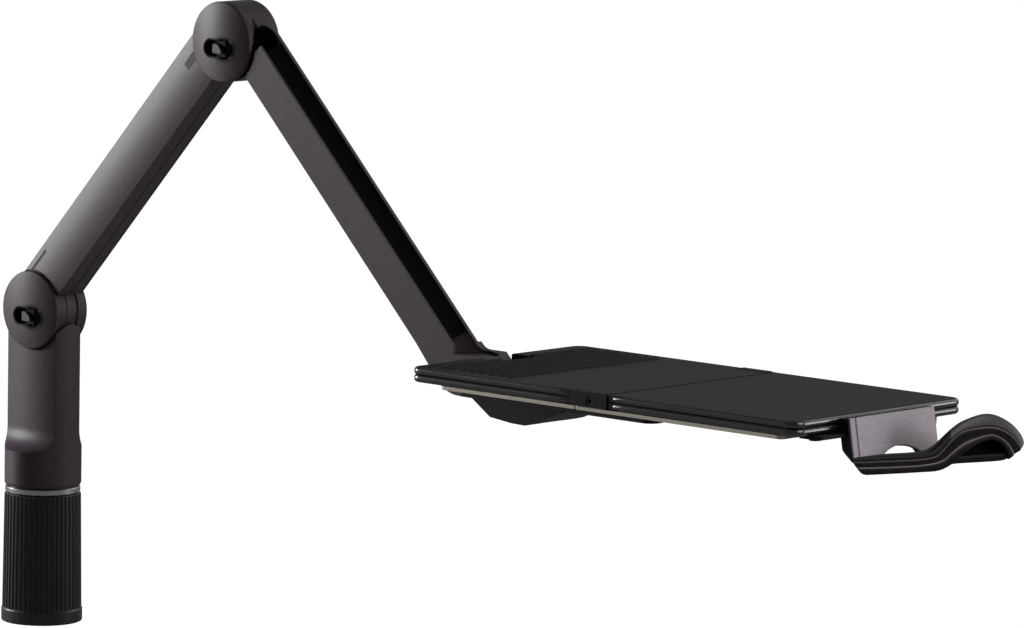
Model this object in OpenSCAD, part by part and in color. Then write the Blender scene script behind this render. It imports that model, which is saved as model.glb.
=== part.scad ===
// Swivel phone desk stand: a fluted base, a column that turns on it, two friction-hinged
// arm segments and a level tray that tilts, pulls out in length and has a grip at its front.
// Units are millimetres. Z is up, X is the direction in which the arm reaches, the origin
// is the centre of the underside of the base.

/* [Base] */
// Outer radius of the plain rim at the foot of the sleeve
base_rim_r = 22.15; // [21.9:0.05:26]
// Height of that rim
base_rim_h = 7.5; // [5:0.5:12]
// Outer radius of the sleeve just above the rim
sleeve_foot_r = 21.7; // [21.2:0.05:21.85]
// Outer radius of the sleeve at its top
sleeve_top_r = 20.9; // [20.3:0.05:21.1]
// Height of the sleeve
sleeve_h = 71; // [55:1:90]
// Number of flutes round the sleeve
flute_count = 48; // [36:1:56]
// Radius of the round cutter that makes a flute
flute_r = 0.85; // [0.6:0.05:1]
// Radius of the steel core inside the sleeve
core_r = 16; // [14:0.5:17.5]
// Radius of the spindle on which the column turns
spindle_r = 9; // [7:0.5:11]
// Length of the spindle above the bearing ring
spindle_h = 22; // [20:1:24]
// Thread size of the desk bolt hole in the underside
desk_thread_d = 10; // [8:1:12]
// Depth of the desk bolt hole
desk_thread_h = 28; // [16:1:40]
// Outer radius of the bearing ring
ring_r = 20.5; // [19:0.1:20.8]
// Height of the bearing ring
ring_h = 3.4; // [2:0.2:5]
// Thickness of the slip washer between ring and column
slip_washer_h = 0.6; // [0.4:0.1:1]

/* [Column] */
// Radius of the column
column_r = 21; // [19:0.25:23]
// Height of the lower hinge axis above the desk
lower_axis_z = 171.8; // [165:0.5:210]
// Half the width across the two flats
flat_half = 9; // [8.4:0.1:9.4]
// Height above the desk at which the flats run out
flat_foot_z = 106.6; // [100:0.5:120]
// Radius of the cove at the foot of a flat
cove_r = 11.5; // [9:0.5:12]

/* [Hinges] */
// Radius of the hinge caps and of the rear hinge discs
cap_r = 21.35; // [21.1:0.05:22.5]
// Radius of the hinge barrel between the caps
barrel_r = 20.6; // [19.8:0.1:21]
// Distance from the middle plane to the outside of a hinge
hinge_half = 11.9; // [11.4:0.1:13]
// Gap left round a hinge barrel
barrel_gap = 0.65; // [0.45:0.05:1.2]
// Face of the column ear that the arm turns against
ear_face_y = 5.2; // [4:0.1:6]
// Running gap between faces that turn on each other
face_gap = 0.2; // [0.1:0.05:0.3]
// Radius of the shank of a hinge bolt
bolt_r = 4; // [3:0.5:5]
// Radial clearance round a hinge bolt
bolt_clear = 0.05; // [0.02:0.01:0.1]
// Width of the adjuster window in a cap
window_w = 22.2; // [20:0.1:23]
// Height of the adjuster window in a cap
window_h = 10.3; // [8.5:0.1:11]
// Distance of the adjuster window below the hinge axis
window_drop = 3.7; // [2.5:0.1:4.5]

/* [Lower arm] */
// Distance between the hinge axes of the lower arm
lower_len = 213; // [180:1:260]
// Rise of the lower arm above level
lower_rise = 47.3; // [38:0.1:60]
// Half the thickness of both arms
arm_half = 9.5; // [9.4:0.1:10]
// Distance from the axis line to the underside of the lower arm
lower_under = 8.1; // [7:0.1:9]
// Radius of the top corners of the lower arm
lower_corner_r = 6.5; // [4:0.5:8]
// Wall of the hollow lower arm
arm_wall = 2.3; // [1.8:0.1:3]
// Thickness of the cover strip in its underside
cover_t = 2.2; // [1.6:0.1:3]

/* [Upper arm] */
// Length of the upper arm from the elbow axis to its foot
upper_len = 218; // [190:1:260]
// Fall of the upper arm below level
upper_fall = 45.3; // [38:0.1:55]
// Distance from the axis line to the near edge of the upper arm
upper_near = 0.3; // [0:0.1:2]
// Height of the thin side wall above the axis line
upper_wall_v = 19.4; // [17:0.1:20]
// Thickness of that side wall
upper_wall_t = 1.3; // [1:0.1:2]
// Radius of the cable trough along the upper arm
trough_r = 9.5; // [8:0.25:10]
// Radius of the clearance round the elbow cap
elbow_clear_r = 24; // [23:0.25:25]

/* [Tray] */
// Height of the top of the foot above the end of the upper arm
foot_top = 8.6; // [7:0.1:10]
// Depth of the underside of the foot below the end of the upper arm
foot_under = 14.2; // [13:0.1:15]
// Radius at the heel of the foot
heel_r = 20; // [14:1:24]
// Radius of the throat between the upper arm and the top of the foot
throat_r = 8; // [4:0.5:12]
// Distance from the end of the upper arm forward to the tilt axis
tilt_forward = 69; // [66:0.5:76]
// Distance of the tilt axis below the end of the upper arm
tilt_drop = 12.6; // [12:0.1:14]
// Radius of the knuckle that the tray tilts on
knuckle_r = 8.4; // [7.5:0.1:8.8]
// Half the thickness of the tongue in the tray bracket
tongue_half = 8.2; // [7:0.1:9]
// Half the outside width of the tray bracket
bracket_half = 19; // [17:0.5:22]
// Length of the tray behind the tilt axis
tray_back = 32; // [30:0.5:33]
// Overall length of the tray when closed
tray_len = 254.2; // [240:0.1:290]
// Width of the tray
tray_w = 127; // [110:1:150]
// Thickness of the tray deck
deck_t = 7.6; // [7:0.1:9]
// Thickness of the skin of the deck
skin_t = 2.7; // [2.2:0.1:3.2]
// Thickness of the steel plates under the deck
plate_t = 1.9; // [1.4:0.1:2.4]
// Distance from the back of the tray to the joint between its halves
joint_x = 133; // [121:0.5:146]
// Length of the side clamps at that joint
clamp_len = 22.7; // [16:0.1:26]
// Length of the tongue of the front half inside the rear half
slide_tongue = 83; // [75:1:95]
// Number of ribs on the rest pad
rib_count = 8; // [5:1:9]
// Pitch of the ribs
rib_pitch = 6.6; // [5:0.1:7]
// Radius of the front corners of the tray in plan
front_corner_r = 6.5; // [5:0.5:14]
// Radius of the back corners of the tray in plan
back_corner_r = 6; // [4:0.5:10]

/* [Front stop and grip] */
// Width of the front stop
stop_w = 65; // [55:1:80]
// Height of the front stop
stop_h = 22; // [18:0.5:26]
// Lean of the front stop from upright
stop_lean = 10; // [0:1:15]
// Thickness of the grey plate on the front stop
stop_plate_t = 1.8; // [1.2:0.1:2.5]
// Width of the half-moon finger notch
notch_w = 33; // [26:1:38]
// Height of the half-moon finger notch
notch_h = 5.5; // [4.5:0.5:7]
// Angle of the grip bar away from the front edge of the tray
grip_turn = 22; // [10:1:30]
// Length of the straight bar of the grip
grip_bar = 47; // [40:1:60]
// Height of the straight bar
grip_h = 10; // [8:0.2:11]
// Outer radius of the arch of the grip
arch_r = 27; // [24:0.5:30]
// Depth of the grip
grip_d = 10; // [8:0.5:14]

/* [Hidden] */
$fn = 96;

// Colours
charcoal = [0.36, 0.34, 0.35];
black = [0.10, 0.10, 0.11];
steel = [0.66, 0.65, 0.63];
plate_grey = [0.69, 0.67, 0.68];

// Small clearances and edge sizes
fit = 0.05;
seat = 0.1;
edge = 0.8;
over = 1;

// Base and column levels
ring_z = sleeve_h + 0.3;
washer_z = ring_z + ring_h;
column_z = washer_z + slip_washer_h;
spindle_top = ring_z + ring_h + spindle_h;
saddle_r = cap_r + barrel_gap;
cap_y = -flat_half - face_gap;
knuckle_y0 = -flat_half;
knuckle_y1 = ear_face_y - face_gap;
slice_y = (knuckle_y0 + knuckle_y1) / 2 - 0.6;
cap_t = hinge_half + cap_y;

// Elbow
elbow = [lower_len * cos(lower_rise), 0, lower_axis_z + lower_len * sin(lower_rise)];
elbow_ear_y0 = -flat_half - seat;
elbow_ear_y1 = -flat_half + 3.8;
elbow_head_y0 = elbow_ear_y1 + face_gap;
elbow_ear_r = cap_r - 2.05;
hood_r0 = elbow_ear_r + 0.3;
hood_sweep = 88;
arm_top_v = cap_r;

// Foot and tilt axis
foot = [elbow[0] + upper_len * cos(upper_fall), 0, elbow[2] - upper_len * sin(upper_fall)];
tilt = [foot[0] + tilt_forward, 0, foot[2] - tilt_drop];
knuckle_gap = 0.4;
foot_near_top = foot[2] + foot_top - 1.6;
foot_end = tilt[0] - 26.4;

// A point of the upper arm's side view, u along the arm and v square to it
function arm_pt(u, v) = [
    elbow[0] + u * cos(upper_fall) + v * sin(upper_fall),
    elbow[2] - u * sin(upper_fall) + v * cos(upper_fall)
];
// Where the line at height v over the arm's axis meets the level z
function arm_u(v, z) = (elbow[2] - z + v * cos(upper_fall)) / sin(upper_fall);

// Points of a round arc
function arc(c, r, a0, a1, n) = [for (i = [0 : n]) c + r * [cos(a0 + (a1 - a0) * i / n), sin(a0 + (a1 - a0) * i / n)]];

// A smooth curve that follows a chain of points, its corners cut n times
function smooth(p, n) = n == 0 ? p : smooth(concat(
    [p[0]],
    [for (i = [0 : len(p) - 2]) each [p[i] * 0.75 + p[i + 1] * 0.25, p[i] * 0.25 + p[i + 1] * 0.75]],
    [p[len(p) - 1]]
), n - 1);

// Tray levels and lengths
deck_z = tilt[2] + 12.6;
deck_top = deck_z + deck_t;
plate_z = deck_z - seat - plate_t;
rail_t = 2;
rail_z = plate_z - seat - rail_t;
back_x = tilt[0] - tray_back;
front_x = back_x + tray_len;
split_x = back_x + joint_x;
clamp_x = split_x - clamp_len;
half_w = tray_w / 2;
notch_half = 11.8;
notch_len = 21;
side_wall = 4;
tongue_z0 = deck_z + 0.7;
tongue_z1 = deck_top - skin_t - 0.3;
clamp_t = 6;
clamp_screw_r = 2.4;
rear_plate_x = back_x + 20.5;
front_plate_x1 = front_x - 9.5;
rail_x1 = split_x + 28;
rail_w = 13;

// Front stop and grip
stop_x = front_x + 1;
stop_top = deck_top - 0.2;
stop_t = 4.6;
stop_screw_y = 44;
grip_z = stop_top - 28.4;
grip_step = 1.2;
arch_x = grip_bar + 23.5;
grip_root = [front_x + 11.1, -stop_w / 2 - 1.5];
grip_g = [sin(grip_turn), cos(grip_turn)];
grip_back = grip_root - grip_d * [cos(grip_turn), -sin(grip_turn)];
stop_foot_x = stop_x + stop_t + stop_h * sin(stop_lean);
web_x0 = stop_foot_x - 4;
web_x1 = stop_foot_x + stop_plate_t * cos(stop_lean) + 0.3;
web_y = grip_back[1] + (web_x1 - grip_back[0]) * grip_g[1] / grip_g[0];
web_h = 4.8;

// Shapes that repeat

module y_cyl(r, y0, y1) {
    translate([0, y0, 0]) rotate([-90, 0, 0]) cylinder(r = r, h = y1 - y0);
}

// A profile drawn in X and Z, from y0 to y1
module xz_prism(y0, y1) {
    translate([0, y1, 0]) rotate([90, 0, 0]) linear_extrude(y1 - y0) children();
}

// A profile drawn in Y and Z, from x0 to x1
module yz_prism(x0, x1) {
    translate([x0, 0, 0]) rotate([90, 0, 90]) linear_extrude(x1 - x0) children();
}

// A block from corner a to corner b
module block(a, b) {
    translate(a) cube(b - a);
}

module at_lower_axis() {
    translate([0, 0, lower_axis_z]) children();
}

module in_lower_arm() {
    at_lower_axis() rotate([0, -lower_rise, 0]) children();
}

module at_elbow() {
    translate(elbow) children();
}

module in_upper_arm() {
    at_elbow() rotate([0, upper_fall, 0]) children();
}

// A plate with round corners in plan; r0 at the low-X end and r1 at the high-X end
module plan_plate(x0, x1, half, r0, r1) {
    union() {
        translate([x0 + r0, -half]) square([x1 - x0 - r0 - r1, 2 * half]);
        translate([x0, -half + r0]) square([r0 + 0.01, 2 * (half - r0)]);
        translate([x1 - r1 - 0.01, -half + r1]) square([r1 + 0.01, 2 * (half - r1)]);
        for (s = [-1, 1]) {
            translate([x0 + r0, s * (half - r0)]) circle(r0);
            translate([x1 - r1, s * (half - r1)]) circle(r1);
        }
    }
}

// Disc with a rounded front rim, face at y0 and back at y1
module rimmed_disc(r, y0, y1, rim) {
    translate([0, y1, 0]) rotate([90, 0, 0]) rotate_extrude() union() {
        square([r - rim, y1 - y0]);
        square([r, y1 - y0 - rim]);
        translate([r - rim, y1 - y0 - rim]) circle(rim);
    }
}

// Deep part of the adjuster window: round at one end and square where the ramp begins
window_x0 = -1.2 - window_w / 2;
window_x1 = window_x0 + 0.62 * window_w;
module window_outline(inset) {
    r = window_h / 2 - inset;
    translate([window_x0 + window_h / 2, -window_drop]) union() {
        circle(r);
        translate([0, -r]) square([window_x1 - window_x0 - window_h / 2 - inset, 2 * r]);
    }
}

// Base

module base_sleeve() color(black) difference() {
    rotate_extrude() polygon([
        [core_r + fit, 0], [base_rim_r - edge, 0], [base_rim_r - 0.25, 0.25], [base_rim_r, edge],
        [base_rim_r, base_rim_h - 0.6], [base_rim_r - 0.4, base_rim_h],
        [sleeve_foot_r, base_rim_h], [sleeve_top_r, sleeve_h - edge],
        [sleeve_top_r - edge, sleeve_h], [core_r + fit, sleeve_h]
    ]);
    flute_lean = atan((sleeve_foot_r - sleeve_top_r) / (sleeve_h - base_rim_h));
    for (i = [0 : flute_count - 1])
        rotate(i * 360 / flute_count) translate([sleeve_foot_r + 0.15, 0, base_rim_h + flute_r + 0.2])
            rotate([0, -flute_lean, 0]) union() {
                cylinder(r = flute_r, h = sleeve_h, $fn = 24);
                sphere(r = flute_r, $fn = 24);
            }
}

module base_spindle() color(steel) difference() {
    rotate_extrude() polygon([
        [0, 0], [core_r - 0.6, 0], [core_r, 0.6], [core_r, ring_z], [core_r - 2.5, ring_z],
        [core_r - 2.5, washer_z - 0.1], [spindle_r, washer_z - 0.1],
        [spindle_r, washer_z + 9], [spindle_r - 1.2, washer_z + 9.6],
        [spindle_r - 1.2, washer_z + 14.4], [spindle_r, washer_z + 15],
        [spindle_r, spindle_top - 1], [spindle_r - 1, spindle_top], [0, spindle_top]
    ]);
    cylinder(d = desk_thread_d, h = 2 * desk_thread_h, center = true);
}

module bearing_ring() color(steel) rotate_extrude() polygon([
    [core_r - 2.5 + fit, ring_z], [ring_r - 0.5, ring_z], [ring_r, ring_z + 0.5],
    [ring_r, washer_z - 0.5], [ring_r - 0.5, washer_z], [core_r - 2.5 + fit, washer_z]
]);

module slip_washer() color(black) translate([0, 0, washer_z]) difference() {
    cylinder(r = ring_r - 1, h = slip_washer_h);
    translate([0, 0, -over]) cylinder(r = spindle_r + 0.3, h = slip_washer_h + 2 * over);
}

// Column: a turned bar with two milled flats, coves at their feet, a saddle for the
// hinge barrel and one ear behind it

module flat_cut(side) {
    block([-column_r - over, 0, flat_foot_z] + [0, side > 0 ? flat_half : -column_r - over, 0],
          [column_r + over, side > 0 ? column_r + over : -flat_half, lower_axis_z + column_r + over]);
    translate([-column_r - over, side * (flat_half + cove_r), flat_foot_z])
        rotate([0, 90, 0]) cylinder(r = cove_r, h = 2 * (column_r + over));
}

module column() color(charcoal) difference() {
    union() {
        difference() {
            rotate_extrude() polygon([
                [0, column_z], [column_r - 1.4, column_z], [column_r - 0.4, column_z + 0.4],
                [column_r, column_z + 1.4], [column_r, lower_axis_z], [0, lower_axis_z]
            ]);
            for (side = [-1, 1]) flat_cut(side);
            at_lower_axis() y_cyl(saddle_r, -column_r - over, ear_face_y);
        }
        at_lower_axis() mirror([0, 1, 0]) rimmed_disc(cap_r, -hinge_half, -ear_face_y, 0.7);
    }
    translate([0, 0, column_z - over]) cylinder(r = spindle_r + fit, h = spindle_top + 1.5 - column_z + over);
    at_lower_axis() y_cyl(bolt_r + bolt_clear, 0, hinge_half + over);
    at_lower_axis() y_cyl(7.6, hinge_half - 3.4, hinge_half + over);
    translate([0, 0, washer_z + 12]) rotate([0, -90, 0]) cylinder(r = 2.5, h = column_r + over);
}

module column_grub_screw() color(steel) translate([-spindle_r + 0.9, 0, washer_z + 12])
    rotate([0, -90, 0]) difference() {
        cylinder(r = 2.45, h = column_r - spindle_r);
        translate([0, 0, column_r - spindle_r - 2.5]) cylinder(r = 1.4, h = 4, $fn = 6);
    }

// Hinge hardware, drawn about a hinge axis

// A cap of the hinge: shallow dome with the adjuster window through it
module hinge_cap() color(charcoal) difference() {
    rim = 0.8;
    crown = 0.6;
    crown_steps = 7;
    translate([0, cap_y, 0]) rotate([90, 0, 0]) rotate_extrude() polygon(concat(
        [[0, 0], [cap_r, 0]],
        arc([cap_r - rim, cap_t - crown - rim], rim, 0, 82, 4),
        [for (i = [1 : crown_steps]) [(cap_r - rim) * (1 - i / crown_steps), cap_t - crown * pow(1 - i / crown_steps, 2)]]
    ));
    xz_prism(-hinge_half - over, cap_y + over) window_outline(0);
    // Ramp from the bottom of the window up to the face of the cap
    ramp = 0.38 * window_w - 0.5;
    translate([window_x1, cap_y - 0.25, -window_drop - window_h / 2 + 0.3])
        rotate([0, 0, -atan(cap_t / ramp)]) translate([-0.6, -8, 0]) cube([20, 8, window_h - 0.6]);
}

// The black insert that lines the window: a thin rim round a deep floor
peg_x = -3.1;
module adjuster_insert() color(black) difference() {
    xz_prism(-hinge_half + 0.5, cap_y + 1.2) window_outline(0.1);
    xz_prism(-hinge_half, cap_y + 0.4) window_outline(0.8);
    // The rim runs low beside the ramp
    block([window_x1 - 2.2, -hinge_half, -window_drop - window_h], [window_x1 + over, cap_y + 0.1, -window_drop + window_h]);
    translate([peg_x, 0, -window_drop - 0.2]) y_cyl(1.6, -hinge_half, cap_y + 2);
}

// Adjusting screw with a block head, its upper edge cut at a slant
module adjusting_screw() color(steel) translate([peg_x, 0, -window_drop - 0.2]) union() {
    y_cyl(1.5, cap_y - 0.5, cap_y + 1.1);
    xz_prism(-hinge_half + 0.6, cap_y + 0.35) polygon([
        [-2.6, -2.4], [2.9, -2.4], [3.3, -1.6], [2.9, -0.2], [1.2, 1.8], [-0.6, 2.6], [-2.2, 2.6], [-2.9, 1.7], [-2.9, -1.9]
    ]);
}

// Bolt whose button head sits in the rear recess; the shank ends in the nut
module pivot_bolt(shank_y0) color(steel) difference() {
    union() {
        y_cyl(bolt_r, shank_y0, hinge_half - 3.3);
        mirror([0, 1, 0]) rimmed_disc(7.2, -hinge_half + 0.3, -hinge_half + 3.4, 1.4);
    }
    y_cyl(2.9, hinge_half - 1.7, hinge_half + over, $fn = 6);
}

module hex_nut(y0, y1) color(steel) difference() {
    y_cyl(7.5, y0, y1, $fn = 6);
    y_cyl(bolt_r + bolt_clear, y0 - over, y1 + over);
}

module ring_washer(r, y0, y1) difference() {
    y_cyl(r, y0, y1);
    y_cyl(bolt_r + 0.2, y0 - over, y1 + over);
}

// Levels of the two hinge nuts
lower_nut_y = [-flat_half + 1.3, -flat_half + 7.3];
upper_nut_y = [-flat_half + 1.3, -flat_half + 3.7];

module lower_hinge_cap() in_lower_arm() rotate([0, lower_rise, 0]) hinge_cap();
module lower_adjuster_insert() in_lower_arm() rotate([0, lower_rise, 0]) adjuster_insert();
module lower_adjusting_screw() in_lower_arm() rotate([0, lower_rise, 0]) adjusting_screw();
module lower_pivot_bolt() at_lower_axis() pivot_bolt(lower_nut_y[0]);
module lower_pivot_nut() at_lower_axis() hex_nut(lower_nut_y[0], lower_nut_y[1]);
module lower_friction_washer() color(steel) at_lower_axis()
    ring_washer(13, knuckle_y1 + 0.02, ear_face_y - 0.02);

module upper_hinge_cap() at_elbow() hinge_cap();
module upper_adjuster_insert() at_elbow() adjuster_insert();
module upper_adjusting_screw() at_elbow() adjusting_screw();
module upper_pivot_bolt() at_elbow() pivot_bolt(upper_nut_y[0]);
module upper_pivot_nut() at_elbow() hex_nut(upper_nut_y[0], upper_nut_y[1]);
module upper_friction_washer() color(steel) at_elbow()
    ring_washer(13, elbow_ear_y1 + 0.02, elbow_head_y0 - 0.02);

// Pockets behind a cap: the seat of the insert and the hexagon of the nut
module hinge_pockets(nut_y1) {
    xz_prism(-hinge_half, cap_y + 1.3) window_outline(0);
    y_cyl(7.6, -hinge_half, nut_y1 + 0.1, $fn = 6);
}

// Lower arm: a hollow casting open below, its sides crowned, with a knuckle at the column
// and a thin ear at the elbow

module lower_section() intersection() {
    crown_r = 68;
    union() {
        translate([-arm_half, -lower_under]) square([2 * arm_half, arm_top_v + lower_under - lower_corner_r]);
        translate([-arm_half + lower_corner_r, 0]) square([2 * (arm_half - lower_corner_r), arm_top_v]);
        for (s = [-1, 1])
            translate([s * (arm_half - lower_corner_r), arm_top_v - lower_corner_r]) circle(lower_corner_r);
    }
    translate([crown_r - arm_half, 0]) circle(crown_r, $fn = 180);
    translate([arm_half - crown_r, 0]) circle(crown_r, $fn = 180);
}

module arm_lower() color(charcoal) difference() {
    union() {
        in_lower_arm() difference() {
            yz_prism(0, lower_len) lower_section();
            // Hollow and the rebate of the cover strip
            block([34, -arm_half + arm_wall, -lower_under - over],
                  [lower_len - 34, arm_half - arm_wall, arm_top_v - 2 * arm_wall - 1.5]);
            block([0, -arm_half + 0.9, -lower_under - over],
                  [lower_len, arm_half - 0.9, -lower_under + cover_t + 0.2]);
            // Clearances round both hinge barrels
            y_cyl(saddle_r, -arm_half - over, arm_half + over);
            translate([lower_len, 0, 0]) y_cyl(saddle_r, -arm_half - over, arm_half + over);
        }
        // Knuckle and its neck at the column
        in_lower_arm() difference() {
            union() {
                y_cyl(barrel_r, knuckle_y0, knuckle_y1);
                block([12, knuckle_y0 + 1.2, -lower_under + cover_t + 0.4],
                      [30, knuckle_y1 - 0.6, arm_top_v - 4.5]);
            }
            difference() {
                y_cyl(barrel_r + over, slice_y - 0.25, slice_y + 0.25);
                y_cyl(barrel_r - 0.5, slice_y - over, slice_y + over);
            }
        }
        // Ear and its web at the elbow
        in_lower_arm() translate([lower_len, 0, 0]) union() {
            y_cyl(elbow_ear_r, elbow_ear_y0, elbow_ear_y1);
            block([-30, elbow_ear_y0, -lower_under + cover_t + 0.4],
                  [-12, elbow_ear_y1, lower_under + 4]);
        }
    }
    at_lower_axis() hinge_pockets(lower_nut_y[1]);
    at_lower_axis() y_cyl(bolt_r + bolt_clear, -hinge_half, hinge_half);
    at_elbow() hinge_pockets(upper_nut_y[1] - 0.1);
    at_elbow() y_cyl(bolt_r + bolt_clear, -hinge_half, 0);
}

module arm_lower_cover() color(charcoal) in_lower_arm() difference() {
    block([saddle_r - 6, -arm_half + 1, -lower_under + 0.15],
          [lower_len - saddle_r + 6, arm_half - 1, -lower_under + 0.15 + cover_t - 0.1]);
    y_cyl(saddle_r + 0.4, -arm_half - over, arm_half + over);
    translate([lower_len, 0, 0]) y_cyl(saddle_r + 0.4, -arm_half - over, arm_half + over);
    // Fine seam along the middle
    block([0, 0.2, -lower_under - over], [lower_len, 0.8, -lower_under + 0.8]);
}

// Upper arm: a casting with a hood over the elbow, a thin wall on the near side, an open
// cable trough behind it, and a foot whose tongue the tray tilts on

module trough() {
    trough_v = arm_top_v + 2.2;
    trough_y = -arm_half + 5;
    start = 10 + trough_r;
    intersection() {
        in_upper_arm() translate([start, trough_y, trough_v]) rotate([0, 90, 0]) rotate_extrude() intersection() {
            union() {
                circle(trough_r);
                square([trough_r, upper_len]);
            }
            translate([0, -trough_r]) square([trough_r, upper_len + trough_r]);
        }
        in_upper_arm() union() {
            block([-over, -arm_half + upper_wall_t, 0], [start + upper_len, arm_half, arm_top_v + 2 * trough_r]);
            // The near wall stops short of the elbow cap
            block([-over, -arm_half - over, 0], [start, arm_half, arm_top_v + 2 * trough_r]);
        }
        // The trough runs out on the top of the foot
        block([elbow[0] - 60, -arm_half - over, foot_near_top], [foot[0] + 60, arm_half, elbow[2] + 60]);
    }
}

// Side view of the upper arm and its foot, with a round heel and a round throat
module upper_outline() {
    throat_x = arm_pt(arm_u(arm_top_v, foot[2] + foot_top), arm_top_v)[0] + throat_r * tan(upper_fall / 2);
    polygon(concat(
        [arm_pt(0, -upper_near), arm_pt(upper_len - 15, -upper_near)],
        arc([foot[0] + heel_r, foot[2] - foot_under + heel_r], heel_r, -135, -90, 6),
        [[foot_end, foot[2] - foot_under], [foot_end, foot[2] + foot_top - 7.1],
         [foot_end - 7, foot[2] + foot_top]],
        arc([throat_x, foot[2] + foot_top + throat_r], throat_r, -90, -90 - upper_fall, 5),
        [arm_pt(0, arm_top_v)]
    ));
}

// The arm and foot, with the near side lower than the far side and a rounded far rail
module upper_body() difference() {
    far_r = 4;
    xz_prism(-arm_half, arm_half) upper_outline();
    in_upper_arm() {
        y_cyl(elbow_clear_r, -arm_half - over, elbow_head_y0);
        block([-over, -arm_half - over, upper_wall_v], [arm_u(upper_wall_v, foot_near_top), -arm_half + 2, arm_top_v + over]);
        yz_prism(-over, upper_len + 4) polygon(concat(
            [[arm_half + over, arm_top_v - far_r], [arm_half + over, arm_top_v + over], [arm_half - far_r, arm_top_v + over]],
            arc([arm_half - far_r + 0.05, arm_top_v - far_r + 0.05], far_r, 90, 0, 5)
        ));
    }
    block([foot[0] + 16, -arm_half - over, foot_near_top], [foot_end + over, 2.5, foot[2] + foot_top + 12]);
}

// Head at the elbow with its rounded rear rim, and the hood over the ear of the lower arm
module upper_head() at_elbow() union() {
    mirror([0, 1, 0]) rimmed_disc(cap_r, -hinge_half, -elbow_head_y0, 1.6);
    intersection() {
        difference() {
            y_cyl(cap_r, elbow_ear_y0 + 0.1, elbow_head_y0 + 0.5);
            y_cyl(hood_r0, elbow_ear_y0 - over, elbow_head_y0);
        }
        xz_prism(-arm_half - over, arm_half) polygon([
            [0, 0], [2 * cap_r, 0], [2 * cap_r, 2 * cap_r], [2 * cap_r / tan(hood_sweep), 2 * cap_r]
        ]);
    }
}

module tongue_profile() {
    polygon([
        [foot_end - 4, foot[2] - foot_under + 0.2], [tilt[0] - 20, foot[2] - foot_under],
        [tilt[0] - 4, tilt[2] - knuckle_r + 0.4], [tilt[0], tilt[2]],
        [tilt[0] - 2, tilt[2] + knuckle_r - 1], [tilt[0] - 12, tilt[2] + 5.6],
        [foot_end + 6.6, foot[2] - 6.6], [foot_end - 0.5, foot[2] + foot_top - 7.6], [foot_end - 4, foot[2]]
    ]);
}

module arm_upper() color(charcoal) difference() {
    union() {
        upper_body();
        upper_head();
        xz_prism(-tongue_half, tongue_half) tongue_profile();
        translate(tilt) y_cyl(knuckle_r, -tongue_half, tongue_half);
    }
    trough();
    at_elbow() y_cyl(bolt_r + bolt_clear, elbow_head_y0 - over, hinge_half + over);
    at_elbow() y_cyl(7.6, hinge_half - 3.4, hinge_half + over);
    translate(tilt) y_cyl(bolt_r + bolt_clear, -tongue_half - over, tongue_half + over);
    // Three small tie holes along the far edge of the foot
    for (x = [16, 12, 9.2])
        translate([foot_end - x, arm_half - 2.4, foot[2] + foot_top - 1.5]) cylinder(r = 0.6, h = 3);
}

// Level of the nut in the near ear of the tray bracket
tilt_nut_y = [-bracket_half + 3.6, -bracket_half + 7.2];

// Tray bracket: two ears joined in front by a sloped web, on a flanged plate

module bracket_side() {
    z1 = plate_z - seat;
    polygon([
        [tilt[0] - 31.5, z1], [tilt[0] - 31.5, tilt[2] + 0.6], [tilt[0] - 18, tilt[2] - 8.2],
        [tilt[0] - 3, tilt[2] - 9.8], [tilt[0] + 6, tilt[2] - 10], [tilt[0] + 11.7, tilt[2] - 8.6],
        [tilt[0] + 30, tilt[2] - 0.9], [tilt[0] + 34, z1]
    ]);
}

module tray_bracket() color(black) difference() {
    z1 = plate_z - seat;
    union() {
        xz_prism(-bracket_half, bracket_half) bracket_side();
        block([tilt[0] - 19, -bracket_half - 9, z1 - 2.4], [tilt[0] + 31, bracket_half + 9, z1]);
    }
    // Room for the tongue and its knuckle, open behind and above
    block([tilt[0] - 60, -tongue_half - 0.3, tilt[2] - 20], [tilt[0], tongue_half + 0.3, z1 + over]);
    block([tilt[0] - 60, -arm_half - 1, tilt[2] - 20], [tilt[0] - 22, arm_half + 1, z1 + over]);
    translate(tilt) y_cyl(knuckle_r + knuckle_gap, -tongue_half - 0.3, tongue_half + 0.3);
    block([tilt[0] - over, -tongue_half - 0.3, tilt[2] - 20], [tilt[0] + knuckle_r + knuckle_gap, tongue_half + 0.3, tilt[2]]);
    // Lightening pocket behind the sloped web
    block([tilt[0] + 12, -bracket_half + 3, tilt[2] - 1.5], [tilt[0] + 24, bracket_half - 3, z1 + over]);
    translate(tilt) y_cyl(bolt_r + bolt_clear, -bracket_half + 2, bracket_half + over);
    translate(tilt) y_cyl(7.1, bracket_half - 3.6, bracket_half + over);
    // Pocket of the nut in the near ear, open above
    translate(tilt) y_cyl(7.6, tilt_nut_y[0] - 0.1, tilt_nut_y[1] + 0.1, $fn = 6);
    block([tilt[0] - 7.6, tilt_nut_y[0] - 0.1, tilt[2]], [tilt[0] + 7.6, tilt_nut_y[1] + 0.1, z1 + over]);
    for (x = [-7, 25], s = [-1, 1])
        translate([tilt[0] + x, s * (bracket_half + 4.5), z1 - 4]) cylinder(r = 2.05, h = 6);
}

module bracket_screws() color(steel)
    for (x = [-7, 25], s = [-1, 1])
        translate([tilt[0] + x, s * (bracket_half + 4.5), plate_z - seat - 2.4]) mirror([0, 0, 1]) union() {
            translate([0, 0, -4.2]) cylinder(r = 2, h = 4.3);
            difference() {
                rotate_extrude() polygon([[0, 0.02], [3.6, 0.02], [3.4, 1.1], [2.6, 1.9], [0, 2.2]]);
                translate([0, 0, 1]) cylinder(r = 1.3, h = 2, $fn = 6);
            }
        }

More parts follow.
